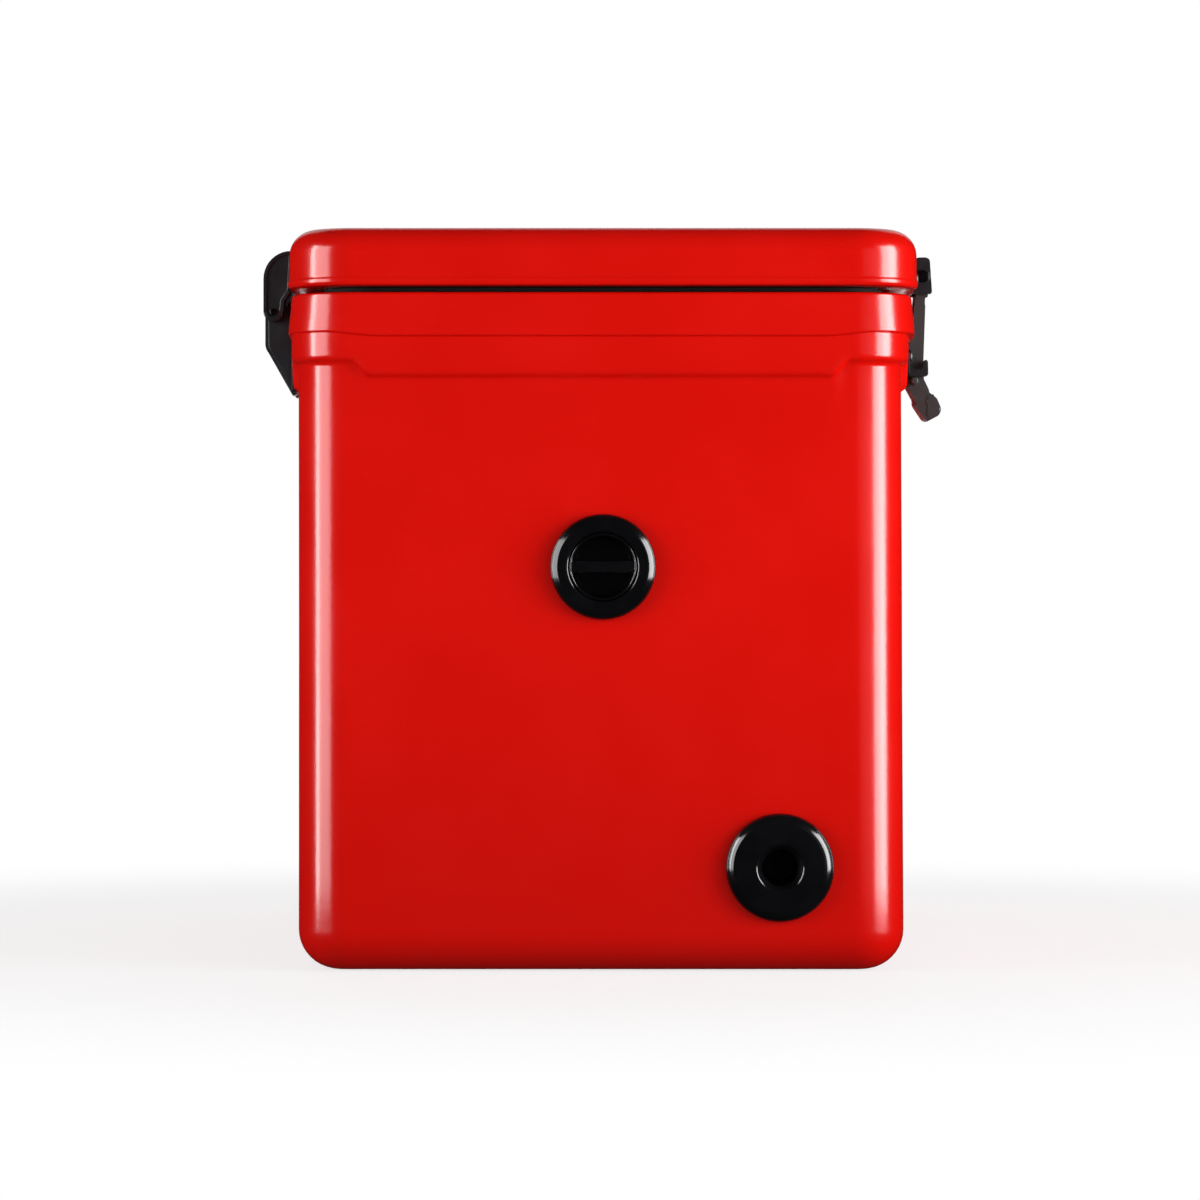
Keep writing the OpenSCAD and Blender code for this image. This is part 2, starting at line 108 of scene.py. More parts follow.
PIN_Y = (PIN_LOW.y + PIN_HIGH.y) / 2
PIN_Z = (PIN_LOW.z + PIN_HIGH.z) / 2
PIN_RADIUS = (PIN_HIGH.y - PIN_LOW.y) / 2
HINGE_PLACE = -(LEAF_LOW.x + LEAF_HIGH.x) / 2
HINGE_WIDTH = LEAF_HIGH.x - LEAF_LOW.x
KNUCKLE_RADIUS = 7
KNUCKLE_GAP = 0.5
ARM_REACH = KNUCKLE_RADIUS - 0.05
KNUCKLE_PITCH = (HINGE_WIDTH + KNUCKLE_GAP) / 5
LEAF_PLATE = 3.5
HINGE_APRON_Y = BODY_LEAF_LOW.y
HINGE_RIM_Y = LID_Y - 0.5

LATCH_PLACE = -(STRAP_LOW.x + STRAP_HIGH.x) / 2
STRAP_HALF = (STRAP_HIGH.x - STRAP_LOW.x) / 2
LATCH_OUT = -(LATCH_PIN_LOW.y + LATCH_PIN_HIGH.y) / 2
LATCH_Z = (LATCH_PIN_LOW.z + LATCH_PIN_HIGH.z) / 2
EAR_IN = STRAP_HALF + 0.5
EAR_OUT = EAR_IN + 6.5
BRACKET_HALF = 34
BRACKET_PLATE = 2
BRACKET_SCREW = 29.3
STRAP_LINE = LID_Y - 1.5
LATCH_APRON_Y = -KEEPER_HIGH.y
KEEPER_PLATE = 4.4
KEEPER_LINE = KEEPER_LOW.z
PRONG_GAP = STRAP_HALF + 1.5
PRONG_WIDTH = 6

PORT_HOLE_RADIUS = 29.1
DRAIN_HOLE_RADIUS = 17.6
DRAIN_BORE_RADIUS = 12.5
SEAL_THICKNESS = 1
FOAM_HOLE_PLACE = 180
FOAM_HOLE_RADIUS = 12
HOLE_STEPS = 72

CAMERA_SIDE = 0.0021
SENSOR_WIDTH = 36
FLOOR_RADIUS = 4000
FLOOR_DROP = 0.0004
SOFT_BOX_HEIGHT = 1.15
SOFT_BOX_MIDDLE = 0.45

SIDES = {"left": -1, "right": 1}
ALONG_X = (1, 0, 0)


# ---------- settings that a user would change ----------

class ShellSettings(bpy.types.PropertyGroup):
    """Colour and finish of the red skins."""

    colour: FloatVectorProperty(
        name="Skin colour", description="Colour of the moulded skins", subtype="COLOR",
        size=3, min=0, max=1, default=(0.64, 0.0026, 0.0002))
    roughness: FloatProperty(
        name="Roughness", description="Roughness of the moulded skins", subtype="FACTOR",
        min=0, max=1, default=0.18)
    peel: FloatProperty(
        name="Orange peel", description="Depth of the fine dimples left by the mould", unit="LENGTH",
        min=0, max=0.001, default=0.00006)
    waviness: FloatProperty(
        name="Waviness", description="Depth in millimetres of the slow waves in the flat walls",
        min=0, max=2, default=0.3)


class FittingSettings(bpy.types.PropertyGroup):
    """Colour and finish of the black fittings."""

    moulded: FloatVectorProperty(
        name="Fitting colour", description="Colour of the port, drain, hinges and latch parts",
        subtype="COLOR", size=3, min=0, max=1, default=(0.0028, 0.0029, 0.0034))
    rubber: FloatVectorProperty(
        name="Strap colour", description="Colour of the rubber straps", subtype="COLOR",
        size=3, min=0, max=1, default=(0.12, 0.125, 0.122))
    edge: FloatProperty(
        name="Edge rounding", description="Rounding in millimetres of the moulded fittings' edges",
        min=0.1, max=1.2, default=0.7)
    turn_steps: IntProperty(
        name="Turned steps", description="Segments round each turned piece", min=32, max=192, default=96)


class StageSettings(bpy.types.PropertyGroup):
    """Camera and studio lights."""

    distance: FloatProperty(
        name="Camera distance", description="From the camera to the end wall", unit="LENGTH",
        min=1, max=8, default=3.1)
    height: FloatProperty(
        name="Camera height", description="Height of the camera above the floor", unit="LENGTH",
        min=0, max=2, default=0.259)
    lens: FloatProperty(
        name="Lens", description="Focal length in millimetres", min=20, max=300, default=134.15)
    rear_glow: FloatProperty(
        name="Rear softbox", description="Brightness of the softbox on the hinge side", min=0, max=50,
        default=6.0)
    front_glow: FloatProperty(
        name="Front softbox", description="Brightness of the softbox on the latch side", min=0, max=50,
        default=12.0)
    ambient: FloatProperty(
        name="Ambient light", description="Strength of the even light from all round", min=0, max=3,
        default=0.28)


# ---------- shader expressions ----------

class Field:
    """One socket of a node tree; arithmetic on it adds Math nodes."""

    def __init__(self, tree, socket):
        self.tree = tree
        self.socket = socket

    def _math(self, operation, first, second):
        return self.node("ShaderNodeMath", {"operation": operation}, [first, second])

    def node(self, kind, settings=None, sockets=None, output=0):
        """Adds a node of that kind, sets it up and returns one of its outputs as a Field."""
        made = self.tree.nodes.new(kind)
        for name, value in (settings or {}).items():
            setattr(made, name, value)
        pairs = sockets.items() if isinstance(sockets, dict) else enumerate(sockets or [])
        for name, value in pairs:
            if isinstance(value, Field):
                self.tree.links.new(value.socket, made.inputs[name])
            else:
                made.inputs[name].default_value = value
        return Field(self.tree, made.outputs[output])

    def __add__(self, other):
        return self._math("ADD", self, other)

    def __radd__(self, other):
        return self._math("ADD", other, self)

    def __sub__(self, other):
        return self._math("SUBTRACT", self, other)

    def __rsub__(self, other):
        return self._math("SUBTRACT", other, self)

    def __mul__(self, other):
        return self._math("MULTIPLY", self, other)

    def __rmul__(self, other):
        return self._math("MULTIPLY", other, self)

    def ramp(self, low, high):
        """0 below low, 1 above high, smooth between."""
        return self.node("ShaderNodeMapRange", {"interpolation_type": "SMOOTHSTEP"},
                         {"Value": self, "From Min": low, "From Max": high})

    def blend(self, colour_a, colour_b):
        """Colour a where this is 0 and colour b where it is 1; 6, 7 and 2 are the Mix node's colours."""
        return self.node("ShaderNodeMix", {"data_type": "RGBA"},
                         {0: self, 6: colour_a, 7: colour_b}, output=2)


def rgba(colour, factor=1.0):
    """A colour made darker or brighter by a factor, with full alpha."""
    return (*(min(c * factor, 1.0) for c in colour), 1.0)


class Finish:
    """A new material with its Principled shader and object coordinates in metres."""

    def __init__(self, name):
        self.material = bpy.data.materials.new(name)
        self.material.use_nodes = True
        self.tree = self.material.node_tree
        self.shader = self.tree.nodes["Principled BSDF"]
        maker = Field(self.tree, None)
        self.node = maker.node
        self.place = maker.node("ShaderNodeTexCoord", output="Object")

    def set(self, **values):
        """Sets or links the Principled shader's sockets; an underscore stands for a space."""
        for name, value in values.items():
            socket = self.shader.inputs[name.replace("_", " ")]
            if isinstance(value, Field):
                self.tree.links.new(value.socket, socket)
            else:
                socket.default_value = value

    def noise(self, scale, detail=3.0, roughness=0.5, stretch=(1, 1, 1)):
        """A grey noise; scale is in waves for each metre."""
        where = self.place
        if stretch != (1, 1, 1):
            where = self.node("ShaderNodeVectorMath", {"operation": "MULTIPLY"},
                              [self.place, stretch])
        return self.node("ShaderNodeTexNoise", None,
                         {"Vector": where, "Scale": scale, "Detail": detail, "Roughness": roughness})

    def cells(self, scale):
        """Distance from the middle of each cell; scale is in cells for each metre."""
        return self.node("ShaderNodeTexVoronoi", None, {"Vector": self.place, "Scale": scale})

    def bump(self, height, distance, strength=1.0, under=None):
        """A Bump that feeds Normal; under is a bump that it lies on."""
        sockets = {"Height": height, "Distance": distance, "Strength": strength}
        if under is not None:
            sockets["Normal"] = under
        return self.node("ShaderNodeBump", None, sockets)

    def height(self):
        """Height above the floor, in metres."""
        return self.node("ShaderNodeSeparateXYZ", None, [self.place], output="Z")


def skin_finish(settings):
    """Gloss red rotomoulded plastic: faint mottling, orange peel, light scuffs near the floor, and painted
    shade that darkens the skin towards the floor.
    """
    f = Finish("red_moulded_skin")
    colour = settings.colour
    mottle = f.noise(14, 4).ramp(0.3, 0.7)
    speck = f.noise(900, 2).ramp(0.62, 0.78)
    scratch = f.noise(60, 5, 0.65, (1, 1, 9)).ramp(0.66, 0.74)
    low = 1 - f.height().ramp(0.0, 0.09)
    scuff = low * f.noise(120, 6, 0.7).ramp(0.52, 0.7)
    base = mottle.blend(rgba(colour, 0.975), rgba(colour, 1.025))
    base = (speck * 0.1).blend(base, rgba(colour, 0.6))
    base = (scuff * 0.03).blend(base, (0.45, 0.05, 0.04, 1))
    # painted shade: the skin's colour is darkened towards the floor, standing in for the lower walls
    # getting less light
    base = (1 - f.height().ramp(-0.02, 0.3)).blend(base, rgba(colour, 0.83))
    rough = settings.roughness + mottle * 0.03 + scratch * 0.04 + scuff * 0.06
    peel = f.bump(f.noise(420, 2), settings.peel, 0.5)
    swell = f.bump(f.noise(26, 1), 0.0004, 0.2, peel)
    f.set(Base_Color=base, Roughness=rough, Normal=swell, IOR=1.5)


def fitting_finish(settings, name, rough, grain, tone=1.0):
    """Near-black moulded plastic: fine tool texture, dust in the pores, dulled patches."""
    f = Finish(name)
    patch = f.noise(45, 4).ramp(0.35, 0.7)
    dust = f.noise(1600, 2).ramp(0.66, 0.8)
    rub = f.noise(260, 6, 0.7, (1, 1, 3)).ramp(0.6, 0.72)
    base = patch.blend(rgba(settings.moulded, 0.85 * tone), rgba(settings.moulded, 1.25 * tone))
    base = (dust * 0.15).blend(base, (0.04, 0.04, 0.042, 1))
    normal = f.bump(f.noise(1800, 2), grain, 0.7)
    f.set(Base_Color=base, Roughness=rough + patch * 0.04 + rub * 0.08 + dust * 0.1, Normal=normal)


def rubber_finish(colour, name, rough=0.5, shine=0.5):
    """Satin moulded rubber: matt bloom, fine pits, and places worn by rubbing that are also painted lighter
    as a sheen.
    """
    f = Finish(name)
    bloom = f.noise(70, 5, 0.6).ramp(0.42, 0.7)
    pits = f.cells(2400)
    rubbed_and_sheen = f.noise(340, 4).ramp(0.58, 0.72)
    base = bloom.blend(rgba(colour, 0.85), rgba(colour, 1.3))
    # places worn by rubbing, lightened to 2.4 times the colour: real wear and painted sheen together
    base = (rubbed_and_sheen * 0.25).blend(base, rgba(colour, 2.4))
    normal = f.bump(pits, 0.00003, 0.5, f.bump(f.noise(700, 3), 0.00004, 0.6))
    f.set(Base_Color=base, Roughness=rough + bloom * 0.12 - rubbed_and_sheen * 0.08, Normal=normal,
          Specular_IOR_Level=shine)


def steel_finish(name, clean, stained, rough=0.2):
    """Turned steel: marks along one way and faint stains."""
    f = Finish(name)
    marks = f.noise(900, 3, 0.6, (0.12, 1, 1))
    stain = f.noise(90, 4).ramp(0.5, 0.75)
    base = stain.blend(clean, stained)
    normal = f.bump(marks, 0.00002, 0.5)
    f.set(Base_Color=base, Metallic=1.0, Roughness=rough + marks * 0.12 + stain * 0.12, Normal=normal)


def foam_finish():
    """Cut foam: cream cells of two sizes."""
    f = Finish("polyurethane_foam")
    fine = f.cells(700)
    coarse = f.cells(160)
    base = coarse.ramp(0.2, 0.8).blend((0.86, 0.78, 0.55, 1), (0.72, 0.6, 0.36, 1))
    f.set(Base_Color=base, Roughness=0.9, Normal=f.bump(fine, 0.0004, 0.8))


# ---------- mesh helpers; all take millimetres ----------

def arc(u, v, r, start, stop, steps=8):
    """Points on an arc; angles in degrees."""
    spread = [math.radians(start + (stop - start) * i / steps) for i in range(steps + 1)]
    return [(u + r * math.cos(a), v + r * math.sin(a)) for a in spread]


def softened(points, radius, steps=4, closed=True):
    """Rounds every corner of an outline by about that radius."""
    out = []
    count = len(points)
    for i, corner in enumerate(points):
        if not closed and i in (0, count - 1):
            out.append(tuple(corner))
            continue
        here = Vector(corner)
        back, ahead = Vector(points[i - 1]) - here, Vector(points[(i + 1) % count]) - here
        reach = min(radius, back.length * 0.45, ahead.length * 0.45)
        start, stop = here + back.normalized() * reach, here + ahead.normalized() * reach
        for k in range(steps + 1):
            t = k / steps
            spot = start * (1 - t) ** 2 + here * (2 * t * (1 - t)) + stop * t ** 2
            out.append((spot.x, spot.y))
    return out


def to_mesh(name, build):
    """Closes a bmesh made in millimetres into a mesh in metres, with its faces turned outwards."""
    bmesh.ops.remove_doubles(build, verts=build.verts, dist=0.001)
    bmesh.ops.recalc_face_normals(build, faces=build.faces)
    bmesh.ops.scale(build, vec=(MM, MM, MM), verts=build.verts)
    mesh = bpy.data.meshes.new(name)
    build.to_mesh(mesh)
    build.free()
    return mesh


def place_mesh(name, mesh, finish, body, node, sharp=38):
    """Links a mesh as a piece that rides a body and stands for a CAD node."""
    piece = bpy.data.objects.new(name, mesh)
    bpy.context.scene.collection.objects.link(piece)
    mesh.materials.clear()
    mesh.materials.append(bpy.data.materials[finish])
    mesh.shade_smooth()
    mesh.set_sharp_from_angle(angle=math.radians(sharp))
    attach(piece, body)
    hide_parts(node)


def place_piece(name, build, finish, body, node, sharp=38):
    """Makes a piece of a bmesh in millimetres."""
    place_mesh(name, to_mesh(name, build), finish, body, node, sharp)


def add_loft(build, rings, capped=True, looped=False):
    """Joins rings of points into a skin: capped at both ends, or looped back to the first ring."""
    rows = [[build.verts.new(p) for p in ring] for ring in rings]
    pairs = list(zip(rows, rows[1:]))
    if looped:
        pairs.append((rows[-1], rows[0]))
    for lower, upper in pairs:
        for i in range(len(lower)):
            j = (i + 1) % len(lower)
            build.faces.new((lower[i], lower[j], upper[j], upper[i]))
    if capped and not looped:
        build.faces.new(rows[0][::-1])
        build.faces.new(rows[-1])


def turned_ring(reach, depth, spot, axis, steps, turned_by=0.0):
    """Points round a line through spot along axis; reach is a radius or a function of the angle."""
    along = Vector(axis).normalized()
    side = along.orthogonal().normalized()
    other = along.cross(side)
    ring = []
    for k in range(steps):
        a = 2 * math.pi * k / steps
        radius = reach(a) if callable(reach) else reach
        outwards = side * math.cos(a + turned_by) + other * math.sin(a + turned_by)
        ring.append(Vector(spot) + along * depth + outwards * radius)
    return ring


def add_turned(build, outline, spot, axis, steps, looped=True):
    """Turns an outline of (radius, depth) about a line through spot along axis."""
    rings = [turned_ring(radius, depth, spot, axis, steps) for radius, depth in outline]
    add_loft(build, rings, capped=not looped, looped=looped)


def add_prism(build, outline, low, high, put, edge=0.0, steps=3, pocket=None):
    """A flat outline made thick from low to high, its rims rounded by edge.

    put maps (u, v, w) to a point, w being the depth. A pocket (border, depth) sinks a shallow panel
    into both flat sides.
    """
    others = set(build.faces)
    rows = [[build.verts.new(put(u, v, w)) for u, v in outline] for w in (low, high)]
    caps = [build.faces.new(rows[0][::-1]), build.faces.new(rows[1])]
    for i in range(len(outline)):
        j = (i + 1) % len(outline)
        build.faces.new((rows[0][i], rows[0][j], rows[1][j], rows[1][i]))
    if edge:
        rims = [e for cap in caps for e in cap.edges]
        bmesh.ops.bevel(build, geom=rims, offset=edge, segments=steps, profile=0.5,
                        affect="EDGES", clamp_overlap=True)
    if pocket:
        border, depth = pocket
        made = sorted((f for f in build.faces if f not in others), key=lambda f: f.calc_area())
        for side in made[-2:]:
            bmesh.ops.inset_region(build, faces=[side], thickness=border)
            bmesh.ops.inset_region(build, faces=[side], thickness=0.8, depth=-depth)


def along_x(u, v, w):
    """An outline in (y, z) made thick along X."""
    return (w, u, v)


def along_y(u, v, w):
    """An outline in (x, z) made thick along Y."""
    return (u, w, v)


def out_front(u, v, w):
    """An outline in (distance out of the latch side, z) made thick along X."""
    return (w, -u, v)


def rounded_block(width, height, radius, u=0.0, v=0.0):
    """A rectangle's outline with round corners."""
    a, b = width / 2, height / 2
    points = []
    for (su, sv), start in (((1, 1), 0), ((-1, 1), 90), ((-1, -1), 180), ((1, -1), 270)):
        points += arc(u + su * (a - radius), v + sv * (b - radius), radius, start, start + 90, 5)
    return points


def spaced_stops(half, mark):
    """Positions from -1 to 1 along a wall, close together where the apron's edge slopes."""
    coarse = [k / 16 for k in range(-16, 17)]
    fine = [s * (mark + d) / half for s in (-1, 1) for d in range(-3, APRON_SLOPE + 4, 2)]
    kept = []
    for t in sorted(coarse + [f for f in fine if abs(f) < 0.995]):
        if not kept or t - kept[-1] > 1.2 / half:
            kept.append(t)
    return [t for t in kept if -0.999 < t < 0.999]


END_MARK = WALL_Y + APRON_OUT - APRON_CORNER_LENGTH
SIDE_MARK = WALL_X + APRON_OUT - APRON_CORNER_LENGTH
LONG_STOPS = spaced_stops(WALL_X - CORNER_RADIUS, SIDE_MARK)
END_STOPS = spaced_stops(WALL_Y - CORNER_RADIUS, END_MARK)


def wall_ring(half_x, half_y, radius, height):
    """Points round a rectangle with round corners; height is a number or a function of (x, y)."""
    flat = []
    corners = ((1, 1, LONG_STOPS), (-1, 1, END_STOPS), (-1, -1, LONG_STOPS), (1, -1, END_STOPS))
    for quarter, (sx, sy, stops) in enumerate(corners):
        cx, cy = half_x - radius, half_y - radius
        flat += arc(sx * cx, sy * cy, radius, quarter * 90, quarter * 90 + 90, CORNER_STEPS)
        for t in stops:
            if quarter % 2 == 0:
                flat.append((-sx * t * cx, sy * half_y))
            else:
                flat.append((sx * half_x, -sy * t * cy))
    level = height if callable(height) else lambda x, y: height
    return [(x, y, level(x, y)) for x, y in flat]


def chest_ring(out, height, radius=None, shift=WALL_SHIFT, wider=0.0):
    """A ring at a distance out from the main wall, shifted towards the hinges."""
    r = max(CORNER_RADIUS + out, 4) if radius is None else radius
    ring = wall_ring(WALL_X + out, WALL_Y + out + wider, r, height)
    return [(x, y + shift, z) for x, y, z in ring]


def lid_ring(out, height, radius=None):
    """A ring at a distance out from the lid's side."""
    r = max(LID_CORNER_RADIUS + out, 4) if radius is None else radius
    return wall_ring(LID_X + out, LID_Y + out, r, height)


def eased(t):
    """From 0 to 1, slow at both ends."""
    t = min(max(t, 0.0), 1.0)
    return t * t * (3 - 2 * t)


def apron_edge(x, y):
    """Height of the apron's lower edge: it dips between the corners, lowest on the long sides."""
    if WALL_X - abs(x) < WALL_Y - abs(y):
        drop = eased((END_MARK + APRON_SLOPE - abs(y)) / APRON_SLOPE)
        return APRON_CORNER_Z + (APRON_END_Z - APRON_CORNER_Z) * drop
    drop = eased((SIDE_MARK + APRON_SLOPE - abs(x)) / APRON_SLOPE)
    return APRON_CORNER_Z + (APRON_SIDE_Z - APRON_CORNER_Z) * drop


def rim_edge(x, y):
    """Height of the rim band's lower edge: it lifts a little round the corners."""
    corner_x = eased((abs(x) - (WALL_X - 58)) / 40)
    corner_y = eased((abs(y) - (WALL_Y - 58)) / 40)
    return RIM_BOTTOM + 3.0 * corner_x * corner_y


def lifted(level, by):
    """A height function raised by that much."""
    return lambda x, y: level(x, y) + by


def wavy(ring, depth):
    """Moves a ring's points in by a slow wave, as a cooled moulding has."""
    moved = []
    for x, y, z in ring:
        wave = 0.5 + 0.5 * noise.noise(Vector((x, y, z)) * 0.009)
        inward = Vector(((x / WALL_X) ** 9, (y / WALL_Y) ** 9))
        scale = depth * wave / max(inward.length, 0.2)
        moved.append((x - inward.x * scale, y - inward.y * scale, z))
    return moved


def cut_holes(mesh, holes):
    """Cuts round holes, given as (radius, start, stop, spot, axis), out of a mesh."""
    solid = bpy.data.objects.new("holes_blank", mesh)
    bpy.context.scene.collection.objects.link(solid)
    cutters = []
    for radius, start, stop, spot, axis in holes:
        build = bmesh.new()
        add_turned(build, ((radius, start), (radius, stop)), spot, axis, HOLE_STEPS, looped=False)
        cutter = bpy.data.objects.new("hole_cutter", to_mesh("hole_cutter", build))
        bpy.context.scene.collection.objects.link(cutter)
        cutters.append(cutter)
        cut = solid.modifiers.new("hole", "BOOLEAN")
        cut.object = cutter
        cut.operation = "DIFFERENCE"
        cut.solver = "EXACT"
    depsgraph = bpy.context.evaluated_depsgraph_get()
    done = bpy.data.meshes.new_from_object(solid.evaluated_get(depsgraph))
    for used in (solid, *cutters):
        bpy.data.objects.remove(used)
    return done


def end_wall_spot(low, high):
    """The place on the end wall at the middle of a fitting's box."""
    return (END_WALL_X, (low.y + high.y) / 2, (low.z + high.z) / 2)


PORT_SPOT = end_wall_spot(PORT_LOW, PORT_HIGH)
DRAIN_SPOT = end_wall_spot(DRAIN_LOW, DRAIN_HIGH)


# ---------- shells ----------

def wall_lean(t):
    """Shift and extra half width of the main wall, from t = 0 at the floor to 1 under the apron."""
    return {"shift": 1.3 + 0.9 * t, "wider": 0.6 - 0.8 * t}


def body_rings(waviness):
    """Every ring of the body, from the middle of its base, up the outside and down into the ice well."""
    low = wall_lean(0)
    rings = [chest_ring(-BASE_RADIUS - 3, 0.6, 4, **low), chest_ring(-BASE_RADIUS - 1, 0.0, 6, **low)]
    for out, z in arc(-BASE_RADIUS, BASE_RADIUS, BASE_RADIUS, -90, 0, 10):
        rings.append(chest_ring(out, z, **low))
    foot = BASE_RADIUS
    for k in range(1, 13):
        t = k / 12
        ring = chest_ring(0, lambda x, y: foot + (apron_edge(x, y) - 3.4 - foot) * t, **wall_lean(t))
        rings.append(wavy(ring, waviness * math.sin(math.pi * min(t, 0.96))))
    for out, lift in ((0.4, -1.6), (1.4, -0.4), (2.9, 0.6), (4.0, 1.7), (4.7, 3.2), (APRON_OUT, 5.4)):
        rings.append(chest_ring(out, lifted(apron_edge, lift)))
    for out, lift in ((APRON_OUT, -2.6), (4.9, -1.0)):
        rings.append(chest_ring(out, lifted(rim_edge, lift)))
    for out, lift in ((6.0, -0.5), (7.4, -0.2), (7.9, 0.5), (RIM_OUT, 1.6)):
        rings.append(chest_ring(out, lifted(rim_edge, lift), shift=RIM_SHIFT))
    for out, lift in ((7.9, 6), (7.6, 10), (7.2, 14), (6.7, 18), (6.3, 22), (6.0, 26.4)):
        rings.append(chest_ring(out, RIM_BOTTOM + lift, shift=RIM_SHIFT))
    top = RIM_TOP
    for out, z in ((5.6, top - 1.6), (4.6, top - 0.5), (3.0, top)):
        rings.append(chest_ring(out, z, shift=RIM_SHIFT))
    land = ((-9, 0), (-10, -0.5), (-11.5, -0.9), (-30, -0.9), (-31.5, -0.5), (-32.5, 0), (-38, 0))
    for out, lift in land:
        rings.append(chest_ring(out, top + lift, CORNER_RADIUS + out * 0.12, 0))
    for out, z in arc(-39, top - 6, 6, 90, 180, 5):
        rings.append(chest_ring(out, z, WELL_CORNER_RADIUS - 4, 0))
    deep = WALL_THICKNESS
    for t in (0.25, 0.5, 0.75):
        z = top - 6 + (WELL_FLOOR + WELL_FLOOR_RADIUS - top + 6) * t
        rings.append(chest_ring(-deep, z, WELL_CORNER_RADIUS - 4 + 4 * t, 0))
    bend = WELL_FLOOR_RADIUS
    for out, z in arc(-deep - bend, WELL_FLOOR + bend, bend, 0, -90, 6):
        rings.append(chest_ring(out, z, WELL_CORNER_RADIUS + (out + deep), 0))
    rings.append(chest_ring(-deep - bend - 60, WELL_FLOOR - 1.2, 18, 0))
    return rings


def make_body_shell(waviness):
    build = bmesh.new()
    add_loft(build, body_rings(waviness))
    start, stop = -30, WALL_THICKNESS + 20
    holes = [(PORT_HOLE_RADIUS, start, stop, PORT_SPOT, ALONG_X),
             (DRAIN_HOLE_RADIUS, start, stop, DRAIN_SPOT, ALONG_X)]
    for side in SIDES.values():
        holes.append((FOAM_HOLE_RADIUS, -4, 12, (side * FOAM_HOLE_PLACE, 0, 0), (0, 0, 1)))
    name = "body_shell_skin"
    place_mesh(name, cut_holes(to_mesh(name, build), holes), "red_moulded_skin", "base", "body_shell", 30)


def lid_rings():
    """Every ring of the lid, from the middle of its top, over the edge and under to its plug."""
    rings = []
    crown, edge = 1.5, LID_EDGE_RADIUS
    inner = LID_Y - edge - 5
    for t in (0.0, 0.2, 0.4, 0.55, 0.7, 0.8, 0.88, 0.94, 1.0):
        out = -edge - 1 - inner * (1 - t)
        rings.append(lid_ring(out, LID_TOP - crown * t ** 6, max(3, (LID_CORNER_RADIUS - edge - 1) * t)))
    for out, z in arc(-edge - 1, LID_TOP - crown - edge, edge, 85, 0, 12):
        rings.append(lid_ring(out, z))
    low = LID_BOTTOM
    for out, lift in ((-0.85, 11), (-0.7, 6.4), (-0.62, 5.5), (-0.2, 4.9), (0, 4.1), (0, 2.7), (-0.4, 1.3),
                      (-1.3, 0.4), (-2.8, 0)):
        rings.append(lid_ring(out, low + lift))
    land = ((-20, 0), (-21.5, 0.5), (-23, 1.0), (-37, 1.0), (-38.5, 0.5), (-40, 0), (-52, 0))
    for out, lift in land:
        rings.append(lid_ring(out, low + lift, LID_CORNER_RADIUS + out * 0.25))
    plug = LID_PLUG_INSET
    corner = WELL_CORNER_RADIUS - 3
    for out, drop in ((1.6, 0.3), (0.4, 1.5), (0, 3.4)):
        rings.append(lid_ring(out - plug, low - drop, corner))
    for out, z in arc(-plug - 5, LID_PLUG_BOTTOM + 5, 5, 0, -90, 5):
        rings.append(lid_ring(out, z, corner + out + plug))
    for out, lift in ((-14, 0), (-17, 0.6), (-20, 2.4), (-23, 3.0), (-60, 3.0)):
        rings.append(lid_ring(-plug + out, LID_PLUG_BOTTOM + lift, max(corner + out, 9)))
    return rings


def make_lid_shell():
    build = bmesh.new()
    add_loft(build, lid_rings())
    place_piece("lid_shell_skin", build, "red_moulded_skin", "lid", "lid_shell", 30)


def make_foam_plug(name, node, body, x, low):
    """A spin-welded disc that closes a foam filling hole from below."""
    build = bmesh.new()
    r = FOAM_HOLE_RADIUS - 0.1
    outline = [(0.01, 0.5), (7.5, 0.5), (8, 1.1), (9.5, 1.1), (10, 0.5), (r, 0.5), (r, 4.8), (0.01, 4.8)]
    outline = softened(outline, 0.5, 3, closed=False)
    add_turned(build, outline, (x, 0, low), (0, 0, 1), 48, looped=False)
    place_piece(name, build, "red_moulded_skin", body, node)


def make_gasket():
    """A bulb gasket round the lid, with two ribs that press on the rim."""
    inset = LID_Y - GASKET_HIGH.y
    corner = 34
    low, high = GASKET_LOW.z, GASKET_HIGH.z
    ribs = [(1.2, low), (3.6, low), (4.4, low + 1.2), (5.6, low + 1.2), (6.4, low), (8.8, low)]
    section = [(0, high), (0, low + 1.6), *ribs, (10, low + 1.6), (10, high)]
    section = softened([(-inset - d, z) for d, z in section], 0.5, 3)
    build = bmesh.new()
    add_loft(build, [lid_ring(out, z, corner + (out + inset)) for out, z in section], looped=True)
    place_piece("lid_gasket_bulb", build, "seal_rubber", "lid", "lid_gasket")


# ---------- hinges ----------

def knuckle_span(side, place):
    """Low and high x of one knuckle; place counts from -2 to 2."""
    middle = side * HINGE_PLACE + place * KNUCKLE_PITCH
    half = (KNUCKLE_PITCH - KNUCKLE_GAP) / 2
    return middle - half, middle + half


def lid_arm_outline():
    """Side view of a lid leaf's arm: along the lid's wall and round the pin."""
    r, top = 20, LID_BOTTOM + 31
    points = [(LID_Y + 0.6, LID_BOTTOM + 2.4), (PIN_Y - 12, LID_BOTTOM + 2.4), (PIN_Y - 7, PIN_Z + 8)]
    points = softened(points, 3, 4, closed=False)
    points += arc(PIN_Y, PIN_Z, ARM_REACH, 180, 360, 14)
    points += arc(PIN_Y + ARM_REACH - r, top - r, r, 0, 90, 10)
    points += [(LID_Y + 0.4, top - 0.6), (LID_Y + 0.6, LID_BOTTOM + 20)]
    return points


